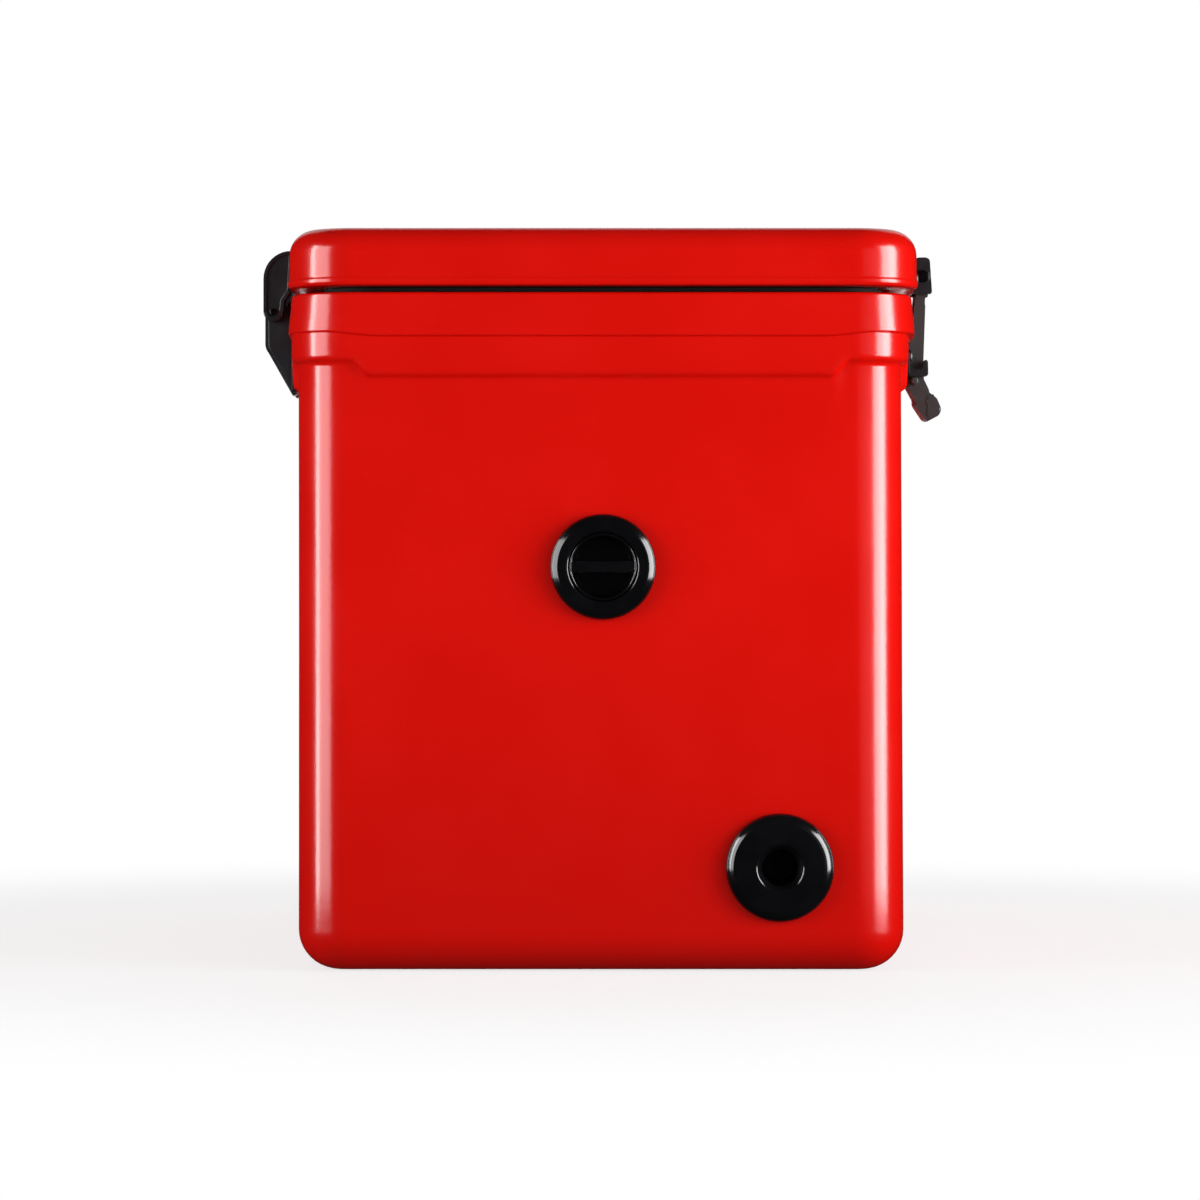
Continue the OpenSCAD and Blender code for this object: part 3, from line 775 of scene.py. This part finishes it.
def body_arm_outline():
    """Side view of a body leaf's arm: up the apron, over the rim band and round the pin."""
    r, low = 10, APRON_SIDE_Z - 1
    apron, rim = HINGE_APRON_Y + 0.6, HINGE_RIM_Y + 0.6
    points = [(HINGE_APRON_Y + 4, low), (apron, low + 1), (apron, RIM_BOTTOM - 3), (rim, RIM_BOTTOM - 3),
              (rim, RIM_TOP - 1), (PIN_Y - 11, RIM_TOP - 1)]
    points = softened(points, 4.0, 4, closed=False)
    points += arc(PIN_Y, PIN_Z, ARM_REACH, 165, 0, 14)
    points += arc(PIN_Y + ARM_REACH - r, RIM_BOTTOM, r, 0, -38, 6)
    return points


def add_leaf_plate(build, side, face, low, high, edge):
    """The leaf's flat back, along X."""
    outline = rounded_block(HINGE_WIDTH, high - low, 3.5, side * HINGE_PLACE, (low + high) / 2)
    add_prism(build, outline, face, face + LEAF_PLATE, along_y, edge)


def make_hinge(label, side, edge):
    """Both leaves of one hinge and its pin."""
    lid_leaf, body_leaf, pin = bmesh.new(), bmesh.new(), bmesh.new()
    add_leaf_plate(lid_leaf, side, LID_Y - 0.4, LID_BOTTOM + 1.5, LID_BOTTOM + 21, edge)
    add_leaf_plate(body_leaf, side, HINGE_APRON_Y, APRON_SIDE_Z + 0.5, RIM_BOTTOM - 2, edge)
    arms = ((lid_leaf, lid_arm_outline(), (-2, 0, 2)), (body_leaf, body_arm_outline(), (-1, 1)))
    for leaf, outline, places in arms:
        for place in places:
            add_prism(leaf, outline, *knuckle_span(side, place), along_x, edge * 2, 4, (2.2, 1.0))
    # ribs between the body leaf's arms, where the lid's knuckles turn above
    y = HINGE_APRON_Y
    rib = softened([(y + 3, APRON_SIDE_Z + 3), (y + 3, RIM_BOTTOM - 5), (y + 5.4, RIM_BOTTOM - 9),
                    (y + 5.4, APRON_SIDE_Z + 7)], 1)
    for place in (-2, 0, 2):
        low, high = knuckle_span(side, place)
        for x in (low + 1.2, high - 2.6):
            add_prism(body_leaf, rib, x, x + 1.4, along_x, 0.3, 2)
    half = HINGE_WIDTH / 2 + 0.6
    r = PIN_RADIUS
    outline = softened([(0.01, -half), (r, -half), (r, half), (0.01, half)], 0.7, 4, closed=False)
    add_turned(pin, outline, (side * HINGE_PLACE, PIN_Y, PIN_Z), ALONG_X, 32, looped=False)
    for leaf, half_name, body in ((lid_leaf, "lid_leaf", "lid"), (body_leaf, "body_leaf", "base")):
        place_piece(f"hinge_{half_name}_moulding_{label}", leaf, "hinge_nylon", body,
                    f"hinge_{half_name}_{label}")
    place_piece(f"hinge_pin_rod_{label}", pin, "blackened_steel", "base", f"hinge_pin_{label}")


# ---------- screws ----------

def add_screw(build, spot, inwards, turned_by):
    """A button-head screw with a six-sided socket; spot is on the plate under its head."""
    steps = 24

    def six_sided(across):
        return lambda a: across / math.cos((a % (math.pi / 3)) - math.pi / 6)

    head = [(2.4, 9), (2.4, 0.02), (4.1, 0.0), (4.4, -0.3), (4.35, -0.8), (3.9, -1.5), (3.2, -1.95),
            (2.6, -2.15), (2.1, -2.2)]
    socket = [(1.5, -2.1), (1.42, -1.9), (1.42, -0.8)]
    rings = [turned_ring(radius, depth, spot, inwards, steps) for radius, depth in head]
    rings += [turned_ring(six_sided(across), depth, spot, inwards, steps, turned_by)
              for across, depth in socket]
    add_loft(build, rings)


def screw_rows():
    """For each screw node: its body, the way its screws point and where their heads sit."""

    def spots(middle, pitch, places, y, z):
        return [(s * middle + k * pitch, y, z) for s in (-1, 1) for k in places]

    hinge, latch = (HINGE_PLACE, KNUCKLE_PITCH), (LATCH_PLACE, BRACKET_SCREW)
    body_y, keeper_y = HINGE_APRON_Y + LEAF_PLATE, -LATCH_APRON_Y - KEEPER_PLATE
    return {
        "hinge_lid_screws": (
            "lid", (0, -1, 0), spots(*hinge, (-1, 1), LID_Y + LEAF_PLATE, LID_BOTTOM + 10.5)),
        "hinge_body_screws": ("base", (0, -1, 0), spots(*hinge, (-2, 0, 2), body_y, APRON_CORNER_Z)),
        "bracket_screws": (
            "lid", (0, 1, 0), spots(*latch, (-1, 1), -LID_Y - BRACKET_PLATE, LID_BOTTOM + 11)),
        "keeper_screws": ("base", (0, 1, 0), spots(*latch, (-1, 1), keeper_y, RIM_BOTTOM - 10)),
    }


def make_screws():
    for node, (body, inwards, spots) in screw_rows().items():
        build = bmesh.new()
        for count, spot in enumerate(spots):
            add_screw(build, spot, inwards, 0.35 * count)
        place_piece(f"{node}_set", build, "screw_steel", body, node)


# ---------- latches ----------

def strap_outline():
    """The strap's side view, from its hub down to the finger grip."""
    y, k = STRAP_LINE, KEEPER_LINE
    inner = [(y + 5.0, LATCH_Z - 7), (y + 4.5, RIM_TOP + 2), (y + 0.2, KEEPER_HIGH.z), (y + 0.2, k),
             (y - 1.7, k - 6)]
    grip = [(4.0, 16.4), (3.6, 19.5), (11, 30.6), (14, 31.6), (21.4, 27.8), (23.3, 23.4), (20, 15.4),
            (15.7, 12.1), (13.2, 10.2)]
    grip = [(y + out, k - drop) for out, drop in grip]
    outer = [(y + 9.4, k - 2.2), (y + 9.8, k + 6), (y + 11.4, RIM_TOP + 2), (y + 12.6, LATCH_Z - 8)]
    hub = arc(LATCH_OUT, LATCH_Z, 5.6, -45, 210, 16)
    return softened(inner + grip, 1.6, 4, closed=False) + softened(outer, 2.0, 4, closed=False) + hub


def make_strap(label, side):
    """A rubber strap with its face pad, ribbed finger grip and the bulb ends under the keeper."""
    x, half = side * LATCH_PLACE, STRAP_HALF
    y, k = STRAP_LINE, KEEPER_LINE
    build = bmesh.new()

    def across(outline, less, edge, steps=3):
        add_prism(build, outline, x - half + less, x + half - less, out_front, edge, steps)

    across(strap_outline(), 0, 1.3, 4)
    pad = [(y + 9.6, k + 9), (y + 10.6, k + 11), (y + 12.0, RIM_TOP - 2), (y + 11.0, RIM_TOP)]
    across(softened(pad, 0.4), 5, 0.5)
    for t in (0.125, 0.375, 0.625, 0.875):
        across(rounded_block(1.8, 1.8, 0.85, y + 16.6 + 4.9 * t, k - 12.2 - 8.8 * t), 3, 0.6)
    block = [(11.4, 15.4), (15.9, 12.6), (19.9, 15.6), (23.2, 23.4), (21.3, 27.6), (14.0, 31.4),
             (12.2, 28.6), (13.6, 22.0)]
    across(softened([(y + out, k - drop) for out, drop in block], 1.8), -0.45, 1.6, 4)
    body = f"strap_{label}"
    place_piece(f"strap_moulding_{label}", build, "strap_rubber", body, f"latch_strap_{label}")
    build = bmesh.new()
    spot = (x, (BULB_LOW.y + BULB_HIGH.y) / 2, (BULB_LOW.z + BULB_HIGH.z) / 2)
    reach = BULB_HIGH.x + LATCH_PLACE
    outline = [(0.01, half - 1), (2.8, half - 1), (2.8, reach), (0.01, reach)]
    for way in (-1, 1):
        add_turned(build, softened(outline, 1.6, 5, closed=False), spot, (way, 0, 0), 28, looped=False)
    place_piece(f"strap_bulb_ends_{label}", build, "strap_rubber", body, f"strap_bulb_{label}")


def make_bracket(label, side, edge):
    """The lid's bracket, two bossed ears on a plate, and the strap's pin."""
    x = side * LATCH_PLACE
    y, low, high = STRAP_LINE, LID_BOTTOM + 1.1, LID_BOTTOM + 27.1
    hub = (-LATCH_OUT, LATCH_Z)
    build = bmesh.new()
    plate = rounded_block(2 * BRACKET_HALF, 19, 4, x, LID_BOTTOM + 11.5)
    add_prism(build, plate, -LID_Y - BRACKET_PLATE, -LID_Y + 0.6, along_y, edge * 0.8)
    ear = softened([(y + 0.6, low + 1.5), (y + 4, low), (y + 16, low), (y + 14.4, high - 2),
                    (y + 12.7, high), (y + 5, high), (y + 0.4, LID_BOTTOM + 21)], 1.6)
    boss = softened([(3.1, -3.5), (5.3, -3.5), (5.3, 3.5), (3.1, 3.5)], 0.5)
    for start, stop in ((x - EAR_OUT, x - EAR_IN), (x + EAR_IN, x + EAR_OUT)):
        add_prism(build, ear, start, stop, out_front, edge * 1.6, 4)
        add_turned(build, boss, ((start + stop) / 2, *hub), ALONG_X, 40)
    place_piece(f"latch_bracket_moulding_{label}", build, "hinge_nylon", "lid", f"latch_bracket_{label}")
    build = bmesh.new()
    reach = EAR_OUT + 2
    neck = reach - 1.5
    outline = [(0.01, -reach), (4.4, -reach), (4.4, -neck), (3, -neck), (3, neck), (4.4, neck),
               (4.4, reach), (0.01, reach)]
    add_turned(build, softened(outline, 0.6, 4, closed=False), (x, *hub), ALONG_X, 36, looped=False)
    place_piece(f"latch_pin_rod_{label}", build, "blackened_steel", "lid", f"latch_pin_{label}")


def make_keeper(label, side, edge):
    """The body's keeper: a plate with two hooked prongs that hold the bulb ends."""
    x = side * LATCH_PLACE
    y, k, top = STRAP_LINE, KEEPER_LINE, KEEPER_HIGH.z
    face = -LATCH_APRON_Y
    build = bmesh.new()
    bar = rounded_block(2 * BRACKET_HALF, 7, 2, x, top - 3.5)
    add_prism(build, bar, face - KEEPER_PLATE, face, along_y, edge * 0.8)
    hook = softened([
        (y - 4, k), (y + 12.2, k), (y + 13.2, k + 1.4), (y + 13, k + 11), (y + 11.6, k + 12),
        (y + 9.6, k + 11), (y + 9.4, k + 5), (y + 2, k + 5), (y - 0.6, k + 8), (y - 4, k + 8)], 1.3)
    for way in (-1, 1):
        middle = x + way * (PRONG_GAP + BRACKET_HALF) / 2
        block = rounded_block(BRACKET_HALF - PRONG_GAP, top - k, 3, middle, (top + k) / 2)
        add_prism(build, block, face - KEEPER_PLATE, face, along_y, edge * 0.8)
        low, high = sorted((x + way * PRONG_GAP, x + way * (PRONG_GAP + PRONG_WIDTH)))
        add_prism(build, hook, low, high, out_front, edge * 1.6, 4)
    place_piece(f"latch_keeper_moulding_{label}", build, "hinge_nylon", "base", f"latch_keeper_{label}")


# ---------- port and drain ----------

def make_turned(name, outline, spot, finish, body, node, steps, looped=True, softness=0.5):
    """A turned piece of a fitting in the end wall; the outline's depths start at the wall's face."""
    build = bmesh.new()
    add_turned(build, softened(outline, softness, 4, closed=looped), spot, ALONG_X, steps, looped)
    place_piece(name, build, finish, body, node, 50)


def make_clamped_sleeve(kind, flange, hole, outer, nut, spot, steps, softness):
    """A flanged sleeve, the rubber ring under its flange and the ring nut inside the ice well.

    nut is its outer radius, its end's depth, its chamfer and the softness of its edges.
    """
    make_turned(f"{kind}_sleeve_turning", flange, spot, "black_moulded_fitting", "base", f"{kind}_sleeve",
                steps, softness=softness)
    inner = hole + 0.2
    seal = [(inner, -SEAL_THICKNESS), (outer, -SEAL_THICKNESS), (outer, 0), (inner, 0)]
    make_turned(f"{kind}_seal_ring", seal, spot, "seal_rubber", "base", f"{kind}_seal", steps, softness=0.3)
    r, end, chamfer, nut_softness = nut
    ring = [(hole, WALL_THICKNESS), (r, WALL_THICKNESS), (r, end - 1), (r - chamfer, end), (hole, end)]
    make_turned(f"{kind}_nut_turning", ring, spot, "black_moulded_fitting", "base", f"{kind}_nut", steps,
                softness=nut_softness)


def make_port(steps):
    """The port: flanged sleeve, seal, nut, and the screw-in plug with its bar and O-ring."""
    front, end = PORT_LOW.x - END_WALL_X, PORT_HIGH.x - END_WALL_X
    r = (PORT_HIGH.y - PORT_LOW.y) / 2
    flange = [(24.0, front + 1.2), (24.9, front + 0.3), (27, front), (r - 5.4, front),
              (r - 4.6, front + 0.3), (r - 1.5, front + 2.3), (r - 0.4, front + 3.6), (r, front + 5.4),
              (r, -SEAL_THICKNESS), (29, -SEAL_THICKNESS), (29, end), (24, end)]
    make_clamped_sleeve("port", flange, PORT_HOLE_RADIUS, r - 0.6, (r, end, 2, 0.8), PORT_SPOT, steps, 0.5)
    cup = [(0.01, 6), (19.5, 6), (21.5, 4), (21.5, front + 2), (21.9, front + 1), (22.6, front + 0.5),
           (23.2, front + 0.9), (23.6, front + 1.8), (23.65, 28), (21.4, 28), (21.4, 30.9), (23.65, 30.9),
           (23.65, 35), (22.6, 36), (18, 36), (18, 12), (0.01, 12)]
    build = bmesh.new()
    add_turned(build, softened(cup, 0.5, 4, closed=False), PORT_SPOT, ALONG_X, steps, looped=False)
    x, y, z = PORT_SPOT
    bar = softened([(front + 0.5, -4), (front + 9, -3.2), (front + 9, 3.2), (front + 0.5, 4)], 1.1)
    add_prism(build, bar, -21.9, 21.9, lambda u, v, w: (x + u, y + w, z + v), 0.3, 2)
    place_piece("port_plug_turning", build, "black_moulded_fitting", "plug", "port_plug", 50)
    build = bmesh.new()
    add_turned(build, arc(22.7, 29.45, 1.15, 0, 345, 23), PORT_SPOT, ALONG_X, steps)
    place_piece("port_plug_seal", build, "seal_rubber", "plug_ring", "port_plug_ring")


def make_drain(steps):
    """The drain: flanged sleeve with an open bore, seal, nut, and the stopper pushed in from inside."""
    front, end = DRAIN_LOW.x - END_WALL_X, DRAIN_HIGH.x - END_WALL_X
    r, bore = (DRAIN_HIGH.y - DRAIN_LOW.y) / 2, DRAIN_BORE_RADIUS
    flange = [(bore, front + 4.6), (16.0, front + 0.5), (16.8, front), (r - 6.8, front),
              (r - 5.2, front + 0.35), (r - 3.2, front + 1.6), (r - 1.2, front + 3.4),
              (r - 0.2, front + 5.2), (r, -SEAL_THICKNESS), (17.5, -SEAL_THICKNESS), (17.5, end), (12, end),
              (12, 26), (bore, 26)]
    make_clamped_sleeve("drain", flange, DRAIN_HOLE_RADIUS, r - 0.6, (21, end, 1, 0.6), DRAIN_SPOT, steps,
                        0.7)
    face = end + 0.3
    stopper = [(0.01, 32), (10.9, 32), (11.85, 34), (11.85, face), (18, face), (18, face + 3),
               (7, face + 4.5), (5, face + 8), (8.5, face + 12), (8.5, face + 15), (6, face + 17),
               (0.01, face + 17)]
    make_turned("drain_stopper_moulding", stopper, DRAIN_SPOT, "seal_rubber", "stopper", "drain_stopper",
                steps, looped=False, softness=0.8)


# ---------- operators ----------

class CHEST_OT_finishes(bpy.types.Operator):
    """Make every material of the chest"""

    bl_idname = "chest.finishes"
    bl_label = "Finishes"

    def execute(self, context):
        fitting = context.scene.chest_fitting
        skin_finish(context.scene.chest_shell)
        fitting_finish(fitting, "black_moulded_fitting", rough=0.11, grain=0.00002)
        fitting_finish(fitting, "hinge_nylon", rough=0.3, grain=0.00005, tone=5.0)
        rubber_finish(tuple(fitting.rubber), "strap_rubber")
        rubber_finish((0.0025, 0.0025, 0.003), "seal_rubber", rough=0.6, shine=0.15)
        steel_finish("screw_steel", (0.09, 0.09, 0.092, 1), (0.06, 0.058, 0.055, 1), rough=0.42)
        steel_finish("blackened_steel", (0.03, 0.03, 0.032, 1), (0.055, 0.05, 0.045, 1))
        foam_finish()
        return {"FINISHED"}


class CHEST_OT_shells(bpy.types.Operator):
    """Make the body and lid skins, their foam, foam plugs and gasket"""

    bl_idname = "chest.shells"
    bl_label = "Shells"

    def execute(self, context):
        make_body_shell(context.scene.chest_shell.waviness)
        make_lid_shell()
        make_gasket()
        for label, side in SIDES.items():
            make_foam_plug(f"body_foam_plug_{label}", "body_foam_plugs", "base", side * FOAM_HOLE_PLACE, 0)
        make_foam_plug("lid_foam_plug_disc", "lid_foam_plug", "lid", 0, LID_PLUG_BOTTOM + 2.0)
        for node in ("body_foam", "lid_foam"):
            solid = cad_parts[node]
            solid.data.materials.clear()
            solid.data.materials.append(bpy.data.materials["polyurethane_foam"])
        return {"FINISHED"}


class CHEST_OT_hinges(bpy.types.Operator):
    """Make both hinges with their pins"""

    bl_idname = "chest.hinges"
    bl_label = "Hinges"

    def execute(self, context):
        for label, side in SIDES.items():
            make_hinge(label, side, context.scene.chest_fitting.edge)
        return {"FINISHED"}


class CHEST_OT_latches(bpy.types.Operator):
    """Make both latches: bracket, pin, rubber strap and keeper"""

    bl_idname = "chest.latches"
    bl_label = "Latches"

    def execute(self, context):
        edge = context.scene.chest_fitting.edge
        for label, side in SIDES.items():
            make_bracket(label, side, edge)
            make_strap(label, side)
            make_keeper(label, side, edge)
        return {"FINISHED"}


class CHEST_OT_screws(bpy.types.Operator):
    """Make every screw that shows"""

    bl_idname = "chest.screws"
    bl_label = "Screws"

    def execute(self, context):
        make_screws()
        return {"FINISHED"}


class CHEST_OT_port(bpy.types.Operator):
    """Make the port's sleeve, nut, seals and screw-in plug"""

    bl_idname = "chest.port"
    bl_label = "Port"

    def execute(self, context):
        make_port(context.scene.chest_fitting.turn_steps)
        return {"FINISHED"}


class CHEST_OT_drain(bpy.types.Operator):
    """Make the drain's sleeve, nut, seal and stopper"""

    bl_idname = "chest.drain"
    bl_label = "Drain"

    def execute(self, context):
        make_drain(context.scene.chest_fitting.turn_steps)
        return {"FINISHED"}


def aim(light, target):
    """Turns a light to shine at a point."""
    light.rotation_euler = (Vector(target) - light.location).to_track_quat("-Z", "Y").to_euler()


def softbox(name, glow, corner, bearing, distance, width, height=1.5, middle=0.65):
    """A soft box seen from a corner of the chest at a bearing in degrees from -X, turning towards +Y."""
    turn = math.radians(bearing)
    data = bpy.data.lights.new(name, "AREA")
    data.shape = "RECTANGLE"
    data.size = width
    data.size_y = height
    data.energy = glow * math.pi * width * height
    light = bpy.data.objects.new(name, data)
    light.location = (corner[0] - distance * math.cos(turn), corner[1] + distance * math.sin(turn), middle)
    aim(light, (*corner, middle))
    light.visible_camera = False
    bpy.context.scene.collection.objects.link(light)
    return light


def studio_lights(settings):
    """Boxes that show in the gloss, softer ones that only light the colours, and a weak one overhead."""
    near_x, far_x, side_y = -WALL_X * MM, WALL_X * MM, WALL_Y * MM
    rear, front = settings.rear_glow, settings.front_glow
    shown = (("rear_wide", rear * 1.15, side_y, 60, 1.6, 1.1),
             ("rear_bright", rear * 1.9, side_y, 75, 1.62, 0.26),
             ("front_wide", front, -side_y, -67, 1.6, 0.95),
             ("front_bright", front * 0.42, -side_y, -72, 1.6, 0.44),
             ("front_faint", front * 0.02, -side_y, -29, 2.6, 1.3))
    for name, glow, side, bearing, distance, width in shown:
        softbox(name, glow, (near_x, side), bearing, distance, width).visible_diffuse = False
    soft = (("rear_soft", rear * 1.06, near_x, side_y, 60, 1.6, 1.1),
            ("front_soft", front * 0.83, near_x, -side_y, -66, 1.6, 1.0),
            ("end_key", front * 0.21, near_x, -side_y, -35, 1.8, 1.0),
            ("far_rear", front * 0.3, far_x, side_y, 152, 2.3, 0.7),
            ("far_front", front * 0.3, far_x, -side_y, -152, 2.3, 0.7))
    for name, glow, end, side, bearing, distance, width in soft:
        light = softbox(name, glow, (end, side), bearing, distance, width, SOFT_BOX_HEIGHT, SOFT_BOX_MIDDLE)
        light.visible_glossy = False
    softbox("far_end", front * 0.15, (far_x, 0), 180, 2.6, 0.9)
    above = softbox("above_far_end", 0.7, (0, 0), 180, 1.8, 2.2, middle=1.7)
    aim(above, (0, 0, 0.5))


def studio_world(strength):
    """White behind the object, and an even light from all round that gloss reflects only faintly."""
    kept_out_of_gloss = strength * 0.96
    world = bpy.data.worlds.new("studio")
    world.use_nodes = True
    tree = world.node_tree
    maker = Field(tree, None)
    seen = maker.node("ShaderNodeLightPath")
    glossy = maker.node("ShaderNodeLightPath", output="Is Glossy Ray")
    level = seen + (1 - seen) * (strength - glossy * kept_out_of_gloss)
    shade = tree.nodes["Background"]
    shade.inputs["Color"].default_value = (1, 1, 1, 1)
    tree.links.new(level.socket, shade.inputs["Strength"])
    bpy.context.scene.world = world


def floor_finish():
    """Pale matt floor that fades into the white around it."""
    f = Finish("studio_floor")
    away = f.node("ShaderNodeVectorMath", {"operation": "LENGTH"}, [f.place], output=1)
    grain = f.noise(30, 3).ramp(0.3, 0.7)
    f.set(Base_Color=grain.blend(rgba((0.9, 0.9, 0.9)), rgba((0.93, 0.93, 0.93))), Roughness=0.7)
    clear = f.node("ShaderNodeBsdfTransparent")
    mixed = f.node("ShaderNodeMixShader", None,
                   {0: 0.75 + 0.25 * away.ramp(0.5, 1.1), 1: Field(f.tree, f.shader.outputs[0]), 2: clear})
    out = f.tree.nodes["Material Output"]
    f.tree.links.new(mixed.socket, out.inputs["Surface"])
    return f.material


class CHEST_OT_stage(bpy.types.Operator):
    """Set up the floor, the studio lights and the camera"""

    bl_idname = "chest.stage"
    bl_label = "Stage"

    def execute(self, context):
        settings = context.scene.chest_stage
        studio_lights(settings)
        studio_world(settings.ambient)
        build = bmesh.new()
        bmesh.ops.create_circle(build, cap_ends=True, segments=96, radius=FLOOR_RADIUS)
        floor = bpy.data.objects.new("floor", to_mesh("floor", build))
        floor.location.z = -FLOOR_DROP
        floor.data.materials.append(floor_finish())
        context.scene.collection.objects.link(floor)
        floor.visible_glossy = False
        floor.visible_diffuse = False
        data = bpy.data.cameras.new("end_view")
        data.lens = settings.lens
        data.sensor_width = SENSOR_WIDTH
        camera = bpy.data.objects.new("end_view", data)
        camera.location = (-LID_X * MM - settings.distance, CAMERA_SIDE, settings.height)
        camera.rotation_euler = (math.radians(90), 0, math.radians(-90))
        context.scene.collection.objects.link(camera)
        context.scene.camera = camera
        context.scene.view_settings.view_transform = "Standard"
        return {"FINISHED"}


STEPS = (CHEST_OT_finishes, CHEST_OT_shells, CHEST_OT_hinges, CHEST_OT_latches, CHEST_OT_screws,
         CHEST_OT_port, CHEST_OT_drain, CHEST_OT_stage)


class CHEST_PT_build(bpy.types.Panel):
    """Lists the steps that make the chest"""

    bl_idname = "CHEST_PT_build"
    bl_label = "Ice chest"
    bl_space_type = "VIEW_3D"
    bl_region_type = "UI"
    bl_category = "Ice chest"

    def draw(self, context):
        for group in SETTINGS:
            settings = getattr(context.scene, group)
            for name in settings.__annotations__:
                self.layout.prop(settings, name)
        for step in STEPS:
            self.layout.operator(step.bl_idname)


SETTINGS = {"chest_shell": ShellSettings, "chest_fitting": FittingSettings, "chest_stage": StageSettings}
CLASSES = (*SETTINGS.values(), *STEPS, CHEST_PT_build)


def register():
    for item in CLASSES:
        bpy.utils.register_class(item)
    for name, group in SETTINGS.items():
        setattr(bpy.types.Scene, name, PointerProperty(type=group))


def unregister():
    for name in SETTINGS:
        delattr(bpy.types.Scene, name)
    for item in reversed(CLASSES):
        bpy.utils.unregister_class(item)


def main():
    """Makes the whole chest and its stage."""
    register()
    bpy.ops.chest.finishes()
    bpy.ops.chest.shells()
    bpy.ops.chest.hinges()
    bpy.ops.chest.latches()
    bpy.ops.chest.screws()
    bpy.ops.chest.port()
    bpy.ops.chest.drain()
    bpy.ops.chest.stage()


if __name__ == "__main__":
    main()
